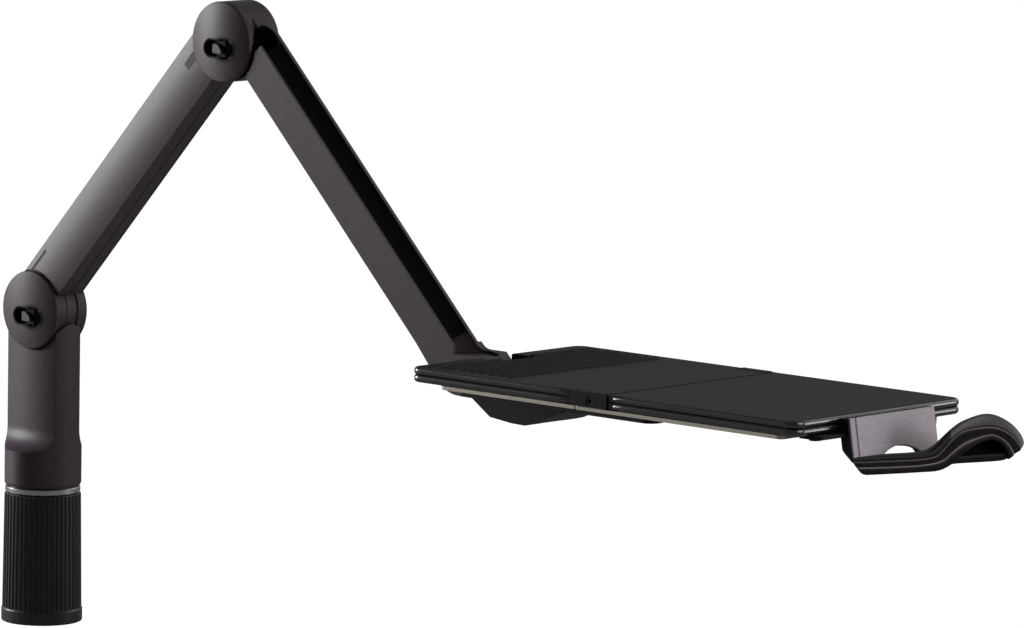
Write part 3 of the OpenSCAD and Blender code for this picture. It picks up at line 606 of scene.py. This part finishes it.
DRESSING: dict[Finish, tuple[str, ...]] = {
    POWDER_COAT: ("arm_lower_cover",),
    ARM_COAT: ("arm_lower", "arm_upper"),
    LOWER_CAP_COAT: ("lower_hinge_cap",),
    UPPER_CAP_COAT: ("upper_hinge_cap",),
    COLUMN_COAT: ("column",),
    FLUTED_NYLON: ("base_sleeve", "slip_washer"),
    MOULDED_NYLON: (
        "lower_adjuster_insert",
        "upper_adjuster_insert",
        "tray_bracket",
        "tray_rear",
        "tray_front",
        "slide_rail_near",
        "slide_rail_far",
        "side_clamp_near",
        "side_clamp_far",
        "front_bracket",
    ),
    GRIP_RUBBER: ("pull_grip",),
    TURNED_STEEL: (
        "base_spindle",
        "bearing_ring",
        "lower_pivot_nut",
        "upper_pivot_nut",
        "tilt_nut",
        "tilt_washers",
        "lower_friction_washer",
        "upper_friction_washer",
    ),
    ZINC_SHEET: ("tray_rear_plate", "tray_front_plate"),
    BLACK_ZINC: (
        "column_grub_screw",
        "lower_pivot_bolt",
        "upper_pivot_bolt",
        "bracket_screws",
        "tilt_bolt",
        "clamp_screw_near",
        "clamp_screw_far",
        "front_bracket_screws",
    ),
    ADJUSTER_NYLON: ("lower_adjusting_screw", "upper_adjusting_screw"),
    SATIN_ANODISED: ("front_plate",),
}


def dress_frame(nodes: dict[str, bpy.types.Object]) -> dict[Finish, bpy.types.Material]:
    """Gives every CAD node its finish.

    Args:
        nodes: Node name to its object.

    Returns:
        Each finish with the material built for it.
    """
    built = {finish: finish.build() for finish in DRESSING}
    for finish, names in DRESSING.items():
        for name in names:
            node = nodes[name]
            node.data.materials.clear()
            node.data.materials.append(built[finish])
            LOG.info("dressed %s in %s", name, finish.name)
    missing = set(nodes) - {n for names in DRESSING.values() for n in names}
    if missing:
        raise ValueError(f"no finish for {sorted(missing)}")
    return built


# Two lengths in millimetres, along the two directions that a drawing names
Point = tuple[float, float]
# Plan x and y of a place on an edge, and the heading there in radians
Heading = tuple[float, float, float]


def through(points: Sequence[Sequence[float]], steps: int) -> list[tuple[float, ...]]:
    """Samples a smooth curve that passes through its points.

    Args:
        points: Points of any number of coordinates, in order.
        steps: Samples for each stretch between two points.

    Returns:
        The samples, first and last point included.
    """
    ends = [points[0], *points, points[-1]]
    samples: list[tuple[float, ...]] = []
    for a, b, c, d in zip(ends, ends[1:], ends[2:], ends[3:]):
        for step in range(steps):
            t = step / steps
            samples.append(
                tuple(
                    0.5
                    * (
                        2 * q
                        + (r - p) * t
                        + (2 * p - 5 * q + 4 * r - w) * t * t
                        + (3 * q - p - 3 * r + w) * t**3
                    )
                    for p, q, r, w in zip(a, b, c, d)
                )
            )
    samples.append(tuple(points[-1]))
    return samples


def between(a: Sequence[float], b: Sequence[float], share: float) -> Point:
    """The point that lies a share of the way from one point to another."""
    return (a[0] + (b[0] - a[0]) * share, a[1] + (b[1] - a[1]) * share)


def loft(
    name: str,
    rings: Sequence[Sequence[Vector]],
    material: bpy.types.Material,
    smooth: int = 0,
    shaded_smooth: bool = True,
) -> bpy.types.Object:
    """Skins closed rings of equal count into one capped solid.

    Args:
        name: Name of the piece.
        rings: Rings of points, in metres.
        material: Finish of the piece.
        smooth: Levels of subdivision.
        shaded_smooth: False where the piece has flat faces and sharp edges.

    Returns:
        The new object.
    """
    count = len(rings[0])
    faces: list[tuple[int, ...]] = []
    for first in range(0, (len(rings) - 1) * count, count):
        for here in range(count):
            after = (here + 1) % count
            faces.append(
                (first + here, first + after, first + count + after, first + count + here)
            )
    last = (len(rings) - 1) * count
    faces += [tuple(range(count - 1, -1, -1)), tuple(range(last, last + count))]
    mesh = bpy.data.meshes.new(name)
    mesh.from_pydata([tuple(p) for ring in rings for p in ring], [], faces)
    mesh.validate()
    # The rings of some pieces run the other way round, so all faces are turned outward here
    shell = bmesh.new()
    shell.from_mesh(mesh)
    bmesh.ops.recalc_face_normals(shell, faces=shell.faces)
    shell.to_mesh(mesh)
    shell.free()
    mesh.polygons.foreach_set("use_smooth", [shaded_smooth] * len(mesh.polygons))
    mesh.materials.append(material)
    piece = bpy.data.objects.new(name, mesh)
    bpy.context.scene.collection.objects.link(piece)
    if smooth:
        rounding = piece.modifiers.new("rounding", "SUBSURF")
        rounding.levels = rounding.render_levels = smooth
    return piece


def stacked(outline: Sequence[Point], levels: Sequence[float]) -> list[list[Vector]]:
    """Rings of one plan outline at several heights, in metres from millimetres."""
    return [[Vector((x, y, z)) * MM for x, y in outline] for z in levels]


@dataclass
class PullGrip:
    """The moulded strap at the front: a bar that swells into a ribbed arch with a finger hollow.

    Lengths here are millimetres. A point is given along the bar, up from its foot, and out
    towards the user. Bands are the sides of the section, counted from its back; the rib bands
    carry painted highlights, and the crest bands are painted lighter beyond that many points of
    the rails.
    """

    root: tuple[float, float, float] = (600.1, -34.0, 152.38)
    turn_deg: float = 22.0
    back: float = -10.0
    plate_clear: float = 0.35
    steps: int = 4
    outer: tuple[Point, ...] = (
        (-2.5, 9.6), (20, 10), (38, 10), (45.1, 11.9), (52.4, 19.2), (57, 22.7), (61.8, 25.1),
        (71.8, 27.7), (79.6, 26.8), (87.8, 22.6), (93.2, 17.4), (95.5, 13), (94.8, 10.8),
    )
    upper_rib: tuple[Point, ...] = (
        (-1, 7.4), (20, 7.1), (38, 7.1), (46.5, 8.6), (52.5, 14.4), (57.4, 18.4), (62.5, 20.3),
        (73, 21), (79.4, 20.2), (84.8, 17.8), (89.2, 14.2), (92, 10.4), (92.2, 9.3),
    )
    lower_rib: tuple[Point, ...] = (
        (2, 4.6), (20, 4.1), (38, 4.2), (48.5, 5.8), (54, 9.6), (59, 12.9), (64.2, 15),
        (73.4, 17.3), (78.2, 16.6), (82, 14.6), (85.2, 11.6), (87.4, 8.2), (87.9, 7),
    )
    lip: tuple[Point, ...] = (
        (5.6, 1), (20, 0.9), (38, 0.9), (47.5, 1.3), (54.5, 4.6), (60.3, 9.3), (66, 12.7),
        (73.4, 15.2), (77.4, 14.7), (80.8, 12.8), (83.2, 10), (84.6, 6.6), (84.9, 5),
    )
    swell_from: float = 40.0
    swell_length: float = 18.0
    rib_bands: tuple[int, ...] = (8, 12)
    crest_bands: tuple[int, ...] = (3, 4, 5, 6)
    crest_from: int = 4
    foot_stations: tuple[tuple[float, float, float], ...] = (
        (47, 1.6, 6), (52.8, 3.9, 7.6), (60, 3.9, 8.1), (79, 3.9, 8.1), (83.5, 4.1, 8.1),
        (86, 5.6, 8.1),
    )
    hollow_from: float = 52.0
    hollow_lap: float = 0.3
    hollow_wall: tuple[float, float] = (2.0, 0.6)

    def place(self, along: float, up: float, out: float) -> Vector:
        """Turns grip lengths into a point of the frame, kept clear of the grey plate.

        Args:
            along: Length along the bar.
            up: Height over the bar's foot.
            out: Length out towards the user.

        Returns:
            The point, in metres.
        """
        turn = math.radians(self.turn_deg)
        out = max(out, (self.plate_clear - along * math.sin(turn)) / math.cos(turn))
        x = self.root[0] + along * math.sin(turn) + out * math.cos(turn)
        y = self.root[1] + along * math.cos(turn) - out * math.sin(turn)
        return Vector((x, y, self.root[2] + up)) * MM

    def section(self, rails: Sequence[Sequence[float]]) -> list[tuple[Point, float]]:
        """Section of the strap: two ribs that step forward, each over a groove.

        Args:
            rails: Points of the four rails where the section stands, from the top down.

        Returns:
            Points of the section, each with how far out it stands.
        """
        # Each term with the swell is what the arch adds to the plain bar
        top, high, low, lip = rails
        rise = min(1.0, max(0.0, (top[0] - self.swell_from) / self.swell_length))
        swell = rise * rise * (3 - 2 * rise)
        edge = -0.4 - 1.0 * swell
        first, second, third = 0.5 + 0.7 * swell, 1.0 + 1.1 * swell, 1.3 + 1.3 * swell
        groove = 0.6 + 0.6 * swell
        return [
            (between(top, lip, 0.3 + 0.35 * swell), self.back),
            (between(top, lip, 0.05 + 0.4 * swell), self.back + 0.5),
            (between(top, lip, 0.02 + 0.2 * swell), self.back + 3.0),
            (between(top, lip, 0.07 * swell), self.back + 6.0),
            (top, edge - 0.9),
            (between(top, high, 0.09), edge),
            (between(top, high, 0.5), (edge + first) / 2 - 0.2 * swell),
            (between(top, high, 0.86), first - groove),
            (between(top, high, 0.95), first - groove + 0.1),
            (high, first - 0.15),
            (between(high, low, 0.16), first + 0.05),
            (between(high, low, 0.74), second - groove),
            (between(high, low, 0.9), second - groove + 0.1),
            (low, second - 0.15),
            (between(low, lip, 0.3), second + 0.1),
            (lip, third - 0.3),
            (lip, third - 1.4),
            (lip, self.back + 2.4),
            (lip, self.back + 0.5),
            (between(lip, top, 0.25), self.back),
        ]

    def strap(self) -> list[list[Vector]]:
        """Lays the strap's section along its rails.

        Returns:
            Rings from its near end to the far end of the arch.
        """
        rails = (self.outer, self.upper_rib, self.lower_rib, self.lip)
        stations = zip(*(through(rail, self.steps) for rail in rails))
        return [[self.place(*p, out) for p, out in self.section(at)] for at in stations]

    def foot_bar(self) -> list[list[Vector]]:
        """Lays out the bar that closes the arch below.

        Returns:
            Rings from its near end to its far end.
        """
        rings = []
        for along, low, high in self.foot_stations:
            section = (
                (low, self.back + 0.8),
                (low, 0.2),
                (low + 0.7, 0.9),
                (high - 0.7, 0.9),
                (high - 0.1, 0.5),
                (high, 0.0),
                (high, self.back + 0.8),
                ((low + high) / 2, self.back + 0.2),
            )
            rings.append([self.place(along, up, out) for up, out in section])
        return rings

    def hollow_back(self) -> list[list[Vector]]:
        """Lays out the thin wall behind the finger hollow.

        Returns:
            Its front ring and its back ring.
        """
        rim = [p for p in through(self.lip, self.steps) if p[0] > self.hollow_from]
        return [
            [self.place(along, up + self.hollow_lap, self.back + out) for along, up in rim]
            for out in self.hollow_wall
        ]

    def _paint_highlights(self, strap: bpy.types.Object) -> bpy.types.Object:
        """Gives the crests of the ribs and the top of the arch their painted highlights.

        Args:
            strap: The strap, with the grip's plain finish.

        Returns:
            The same strap.
        """
        strap.data.materials.append(RIB_HIGHLIGHT_RUBBER.build())
        strap.data.materials.append(CREST_LIT_RUBBER.build())
        count = len(self.strap()[0])
        for face in strap.data.polygons:
            ring, band = divmod(face.index, count)
            if face.loop_total != QUAD:
                continue
            if band in self.rib_bands:
                face.material_index = 1
            elif band in self.crest_bands and ring > self.crest_from * self.steps:
                face.material_index = 2
        return strap

    def build(self, material: bpy.types.Material) -> list[bpy.types.Object]:
        """Makes the strap, its foot bar and the wall of its hollow.

        Args:
            material: Finish of the grip.

        Returns:
            The pieces, riding with the tray's front half.
        """
        pieces = [
            self._paint_highlights(loft("grip_strap", self.strap(), material, smooth=2)),
            loft("grip_foot_bar", self.foot_bar(), material, smooth=1),
            loft("grip_hollow_back", self.hollow_back(), material),
        ]
        for piece in pieces:
            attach(piece, Body.TRAY_END.value)
        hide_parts("pull_grip")
        return pieces


@dataclass
class FrontBracket:
    """The black moulding at the front: flange, chamfered upright with its notch, and web.

    Lengths are millimetres. The upright is drawn across the tray and up its own leaning face.
    """

    foot: tuple[float, float] = (598.41, 159.11)
    lean_deg: float = 10.0
    width: float = 65.0
    height: float = 22.0
    chamfer: tuple[Point, ...] = ((-5.3, 7.0), (-4.1, 5.0), (0.0, 0.0))
    notch_half: float = 16.3
    notch_high: float = 5.3
    notch_steps: int = 24
    web_levels: tuple[float, float] = (156.6, 160.2)
    web_outline: tuple[Point, ...] = (
        (596.00, -26.00), (600.50, -26.00), (600.50, -6.29), (606.55, 8.69),
        (601.80, 6.83), (599.50, 2.71), (596.00, -10.00),
    )
    flange_levels: tuple[float, float] = (171.38, 173.28)
    flange_outline: tuple[Point, ...] = (
        (579.9, -50.5), (581.9, -52.5), (591.0, -52.5), (594.1, -50.0), (594.1, 30.0),
        (587.0, 32.0), (587.0, 45.6), (585.6, 46.4), (579.9, 46.4),
    )

    def on_face(self, across: float, up: float, out: float) -> Vector:
        """Turns a point of the leaning face into a point of the frame.

        Args:
            across: Length across the tray.
            up: Length up the face from its foot.
            out: Length out of the face.

        Returns:
            The point, in metres.
        """
        lean = math.radians(self.lean_deg)
        x = self.foot[0] - up * math.sin(lean) + out * math.cos(lean)
        z = self.foot[1] + up * math.cos(lean) + out * math.sin(lean)
        return Vector((x, across, z)) * MM

    def upright(self) -> list[list[Vector]]:
        """Lays out the upright, with the half-moon notch in its lower edge.

        Returns:
            Rings from its chamfered back to its front.
        """
        half = self.width / 2
        outline = [(-half, self.height), (-half, 0.4), (-self.notch_half, 0.0)]
        for step in range(1, self.notch_steps):
            angle = math.pi * step / self.notch_steps
            outline.append(
                (-self.notch_half * math.cos(angle), self.notch_high * math.sin(angle))
            )
        outline += [(self.notch_half, 0.0), (half, 0.0), (half, self.height)]
        return [
            [self.on_face(across, max(up, low), out) for across, up in outline]
            for out, low in self.chamfer
        ]

    def web(self) -> list[list[Vector]]:
        """Rings of the web that carries the grip."""
        return stacked(self.web_outline, self.web_levels)

    def flange(self) -> list[list[Vector]]:
        """Rings of the flange screwed under the deck."""
        return stacked(self.flange_outline, self.flange_levels)

    def build(self, material: bpy.types.Material) -> list[bpy.types.Object]:
        """Makes the moulding in the place of the plain CAD one.

        Args:
            material: Finish of the moulding.

        Returns:
            Its pieces, riding with the tray's front half.
        """
        pieces = [
            loft("bracket_upright", self.upright(), material, shaded_smooth=False),
            loft("bracket_web", self.web(), material, shaded_smooth=False),
            loft("bracket_flange", self.flange(), material, shaded_smooth=False),
        ]
        for piece in pieces:
            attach(piece, Body.TRAY_END.value)
        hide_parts("front_bracket")
        return pieces


@dataclass
class TroughShadeSheet:
    """Painted shade: a thin black sheet laid on the wall of the upper arm's cable trough.

    Lengths are millimetres: along the arm, across it, and up from its axis.
    """

    elbow: tuple[float, float] = (144.448, 328.337)
    fall_deg: float = 45.3
    start: float = 20.2
    end: float = 214.0
    centre: Point = (-4.5, 23.55)
    radius: float = 9.5
    wall_y: float = -8.2
    wall_top: float = 19.3
    far_top: float = 21.2
    thick: float = 0.3
    buried: float = 0.1
    arc_steps: int = 12

    def section(self, inset: float) -> list[Point]:
        """Follows the trough's wall from its near rim to its far rim.

        Args:
            inset: How far the line stands in from the casting.

        Returns:
            Points across the arm and up from its axis.
        """
        reach = self.radius - inset
        side = self.wall_y + inset
        across = side - self.centre[0]
        first = math.atan2(-math.sqrt(reach**2 - across**2), across)
        last = -math.asin((self.centre[1] - self.far_top) / reach)
        points = [(side, self.wall_top)]
        for step in range(self.arc_steps + 1):
            angle = first + (last - first) * step / self.arc_steps
            y = self.centre[0] + reach * math.cos(angle)
            points.append((y, self.centre[1] + reach * math.sin(angle)))
        return points

    def on_arm(self, along: float, across: float, up: float) -> Vector:
        """Turns lengths of the arm into a point of the frame.

        Args:
            along: Length from the elbow down the arm.
            across: Length across the arm.
            up: Height over the arm's axis.

        Returns:
            The point, in metres.
        """
        fall = math.radians(self.fall_deg)
        x = self.elbow[0] + along * math.cos(fall) + up * math.sin(fall)
        z = self.elbow[1] - along * math.sin(fall) + up * math.cos(fall)
        return Vector((x, across, z)) * MM

    def build(self, material: bpy.types.Material) -> bpy.types.Object:
        """Makes the sheet, riding with the upper arm.

        Args:
            material: Finish of the sheet.

        Returns:
            The sheet.
        """
        section = self.section(self.thick) + self.section(-self.buried)[::-1]
        rings = [[self.on_arm(u, y, v) for y, v in section] for u in (self.start, self.end)]
        shade_sheet = loft("trough_shade_sheet", rings, material, shaded_smooth=False)
        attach(shade_sheet, Body.UPPER_ARM.value)
        return shade_sheet


@dataclass
class TrayEdge:
    """Two round beads, one over the other, that run along the outside of a moulded deck.

    Lengths are millimetres. The gap is in the middle of the deck's free end, with 0 for none,
    and turned is True where that end is at high X.
    """

    near_x: float
    far_x: float
    corner: float
    gap_half: float
    turned: bool
    half_width: float = 63.5
    low: float = 173.4
    high: float = 180.96
    out: float = 0.6
    deep: float = 2.0
    bend_steps: int = 12
    side_steps: int = 6
    end_steps: int = 4
    ring_steps: int = 12

    @property
    def bead_half(self) -> float:
        """Half the height of one bead."""
        return (self.high - self.low) / 4

    def route(self) -> list[list[Heading]]:
        """Plans the edge as one run, or as two with a gap between them.

        Returns:
            Runs of places with the heading of the outside.
        """
        side = 1.0 if self.turned else -1.0
        start, end = (self.near_x, self.far_x) if self.turned else (self.far_x, self.near_x)
        bend: list[Heading] = []
        for step in range(self.bend_steps + 1):
            turn = math.pi / 2 * step / self.bend_steps
            x = end - side * self.corner + side * self.corner * math.sin(turn)
            y = -self.half_width + self.corner - self.corner * math.cos(turn)
            bend.append((x, y, turn))
        bend_x, bend_y = bend[0][0], bend[-1][1]
        run = [
            (start + (bend_x - start) * k / self.side_steps, -self.half_width, 0.0)
            for k in range(self.side_steps)
        ]
        run += bend
        run += [
            (end, bend_y + (-self.gap_half - bend_y) * k / self.end_steps, math.pi / 2)
            for k in range(1, self.end_steps + 1)
        ]
        other = [(x, -y, h) for x, y, h in reversed(run)]
        near = [(x, y, math.atan2(-math.cos(h), side * math.sin(h))) for x, y, h in run]
        far = [(x, y, math.atan2(math.cos(h), side * math.sin(h))) for x, y, h in other]
        return [near, far] if self.gap_half else [near + far[1:]]

    def ring(self, station: Heading, middle: float) -> list[Vector]:
        """Section of one bead.

        Args:
            station: Plan point and heading of the edge there.
            middle: Height of the bead's middle.

        Returns:
            The section's points, in metres.
        """
        x, y, heading = station
        points = []
        shift, reach = (self.out - self.deep) / 2, (self.out + self.deep) / 2
        for step in range(self.ring_steps):
            angle = 2 * math.pi * step / self.ring_steps
            out = shift + reach * math.cos(angle)
            point = (
                x + out * math.cos(heading),
                y + out * math.sin(heading),
                middle + self.bead_half * math.sin(angle),
            )
            points.append(Vector(point) * MM)
        return points

    def build(
        self, name: str, body: Body, material: bpy.types.Material
    ) -> list[bpy.types.Object]:
        """Sweeps both beads along the edge.

        Args:
            name: Start of the pieces' names.
            body: Body that the deck rides on.
            material: Finish of the beads.

        Returns:
            The beads.
        """
        pieces = []
        middles = {"lower": self.low + self.bead_half, "upper": self.high - self.bead_half}
        for bead, middle in middles.items():
            for count, run in enumerate(self.route()):
                rings = [self.ring(station, middle) for station in run]
                piece = loft(f"{name}_{bead}_bead_{count}", rings, material, smooth=1)
                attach(piece, body.value)
                pieces.append(piece)
        return pieces


@dataclass
class Camera:
    """A long lens at the photograph's angle, solved from the object's own edges."""

    azimuth_deg: float = 42.486
    elevation_deg: float = 7.33
    roll_deg: float = 1.045
    focal_px: float = 6572.857
    frame_px: float = 1024.0
    sensor_mm: float = 36.0
    clip_m: tuple[float, float] = (0.1, 60.0)
    place: tuple[float, float, float] = (2.58609, -2.44652, 0.63014)

    def build(self) -> None:
        """Adds the camera and makes it the scene's own."""
        azimuth, elevation, roll = (
            math.radians(v) for v in (self.azimuth_deg, self.elevation_deg, self.roll_deg)
        )
        right = Vector((math.cos(azimuth), math.sin(azimuth), 0.0))
        ahead = Vector(
            (
                -math.sin(azimuth) * math.cos(elevation),
                math.cos(azimuth) * math.cos(elevation),
                -math.sin(elevation),
            )
        )
        up = right.cross(ahead)
        side = right * math.cos(roll) + up * math.sin(roll)
        top = up * math.cos(roll) - right * math.sin(roll)
        lens = bpy.data.cameras.new("studio_camera")
        lens.sensor_width = self.sensor_mm
        lens.lens = self.sensor_mm * self.focal_px / self.frame_px
        lens.clip_start, lens.clip_end = self.clip_m
        camera = bpy.data.objects.new("studio_camera", lens)
        turn = Matrix((side, top, -ahead)).transposed().to_4x4()
        camera.matrix_world = Matrix.Translation(Vector(self.place)) @ turn
        bpy.context.scene.collection.objects.link(camera)
        bpy.context.scene.camera = camera


@dataclass(frozen=True)
class Lamp:
    """A soft square lamp that looks at one point of the object."""

    name: str
    place: tuple[float, float, float]
    aim: tuple[float, float, float]
    side_m: float
    watts: float

    def build(self) -> None:
        """Adds the lamp to the scene."""
        data = bpy.data.lights.new(self.name, "AREA")
        data.shape = "SQUARE"
        data.size = self.side_m
        data.energy = self.watts
        lamp = bpy.data.objects.new(self.name, data)
        lamp.location = Vector(self.place)
        look = Vector(self.aim) - Vector(self.place)
        lamp.rotation_euler = look.to_track_quat("-Z", "Y").to_euler()
        bpy.context.scene.collection.objects.link(lamp)


@dataclass
class Studio:
    """A floor and a world that the camera sees white, both dim as light, and soft lamps."""

    floor_half_m: float = 30.0
    floor_colour: str = "#8c8c8c"
    floor_glow: float = 1.36
    shadow_share: float = 0.25
    world_strength: float = 0.05
    mirror_strength: float = 0.12
    backdrop_strength: float = 0.4
    backdrop_rise: tuple[float, float] = (-0.1, 0.7)
    lamps: tuple[Lamp, ...] = (
        Lamp("key_left", (-1.75, -0.8, 0.6), (0.15, 0.0, 0.2), 0.8, 42.0),
        Lamp("fill_front", (1.0, -2.4, 1.8), (0.25, 0.0, 0.2), 1.2, 0.9),
        Lamp("plate_side", (1.0, -0.05, 0.42), (0.6, 0.0, 0.17), 0.3, 0.95),
        Lamp("nose_back", (1.9, 1.5, 0.42), (0.585, 0.05, 0.175), 0.7, 8.0),
        Lamp("rim_back", (0.6, 2.0, 1.3), (0.3, 0.0, 0.2), 1.2, 6.0),
    )

    def build(self) -> None:
        """Builds the floor, the world and the lamps."""
        self._floor()
        self._world()
        for lamp in self.lamps:
            lamp.build()

    def _floor(self) -> None:
        """A wide plane that shows white to the camera and keeps a soft shadow."""
        mesh = bpy.data.meshes.new("studio_floor")
        h = self.floor_half_m
        mesh.from_pydata([(-h, -h, 0), (h, -h, 0), (h, h, 0), (-h, h, 0)], [], [(0, 1, 2, 3)])
        floor = bpy.data.objects.new("studio_floor", mesh)
        bpy.context.scene.collection.objects.link(floor)
        material = bpy.data.materials.new("studio_floor")
        material.use_nodes = True
        tree = material.node_tree
        tree.nodes.clear()
        path = add_node(tree, "ShaderNodeLightPath")
        mirrored = add_node(
            tree,
            "ShaderNodeMath",
            {"operation": "MULTIPLY", 1: self.mirror_strength},
            {0: path.outputs["Is Glossy Ray"]},
        )
        seen = add_node(
            tree,
            "ShaderNodeMath",
            {"operation": "MAXIMUM"},
            {0: path.outputs["Is Camera Ray"], 1: mirrored.outputs[0]},
        )
        share = add_node(
            tree,
            "ShaderNodeMath",
            {"operation": "MULTIPLY", 1: 1.0 - self.shadow_share},
            {0: seen.outputs[0]},
        )
        matt = add_node(tree, "ShaderNodeBsdfDiffuse", {"Color": srgb(self.floor_colour)})
        glow = add_node(tree, "ShaderNodeEmission", {"Strength": self.floor_glow})
        mix = add_node(
            tree,
            "ShaderNodeMixShader",
            links={0: share.outputs[0], 1: matt.outputs[0], 2: glow.outputs[0]},
        )
        add_node(tree, "ShaderNodeOutputMaterial", {}, {"Surface": mix.outputs[0]})
        mesh.materials.append(material)

    def _world(self) -> None:
        """White to the camera, dim as a light, and in reflections brighter towards high Y."""
        world = bpy.data.worlds.new("studio_world")
        bpy.context.scene.world = world
        world.use_nodes = True
        tree = world.node_tree
        tree.nodes.clear()
        path = add_node(tree, "ShaderNodeLightPath")
        sky = add_node(tree, "ShaderNodeTexCoord")
        axes = add_node(tree, "ShaderNodeSeparateXYZ", {}, {"Vector": sky.outputs["Generated"]})
        backdrop = add_node(
            tree,
            "ShaderNodeMapRange",
            {
                "From Min": self.backdrop_rise[0],
                "From Max": self.backdrop_rise[1],
                "To Min": self.mirror_strength,
                "To Max": self.backdrop_strength,
            },
            {"Value": axes.outputs["Y"]},
        )
        mirrored = add_node(
            tree,
            "ShaderNodeMapRange",
            {"To Min": self.world_strength},
            {"Value": path.outputs["Is Glossy Ray"], "To Max": backdrop.outputs["Result"]},
        )
        strength = add_node(
            tree,
            "ShaderNodeMath",
            {"operation": "MAXIMUM"},
            {0: path.outputs["Is Camera Ray"], 1: mirrored.outputs["Result"]},
        )
        back = add_node(tree, "ShaderNodeBackground", {}, {"Strength": strength.outputs[0]})
        add_node(tree, "ShaderNodeOutputWorld", {}, {"Surface": back.outputs[0]})


def piece_names(pieces: Iterable[bpy.types.Object]) -> list[str]:
    """The names of some pieces, for the log."""
    return [piece.name for piece in pieces]


def main() -> None:
    """Builds the scene round the frame."""
    logging.basicConfig(level=logging.INFO, format="%(name)s: %(message)s")
    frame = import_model()
    bpy.context.scene.view_settings.view_transform = "Standard"
    Camera().build()
    Studio().build()
    finishes = dress_frame(frame["nodes"])
    LOG.info("grip: %s", piece_names(PullGrip().build(finishes[GRIP_RUBBER])))
    LOG.info("trough: %s", piece_names([TroughShadeSheet().build(finishes[MOULDED_NYLON])]))
    LOG.info("bracket: %s", piece_names(FrontBracket().build(finishes[MOULDED_NYLON])))
    bead_nylon = BEAD_NYLON.build()
    rear = TrayEdge(334.8, 445.0, corner=6.0, gap_half=12.4, turned=False)
    front = TrayEdge(468.2, 589.0, corner=6.5, gap_half=0.0, turned=True)
    beads = rear.build("tray_rear", Body.TRAY, bead_nylon)
    beads += front.build("tray_front", Body.TRAY_END, bead_nylon)
    LOG.info("edge beads: %s", piece_names(beads))


if __name__ == "__main__":
    main()
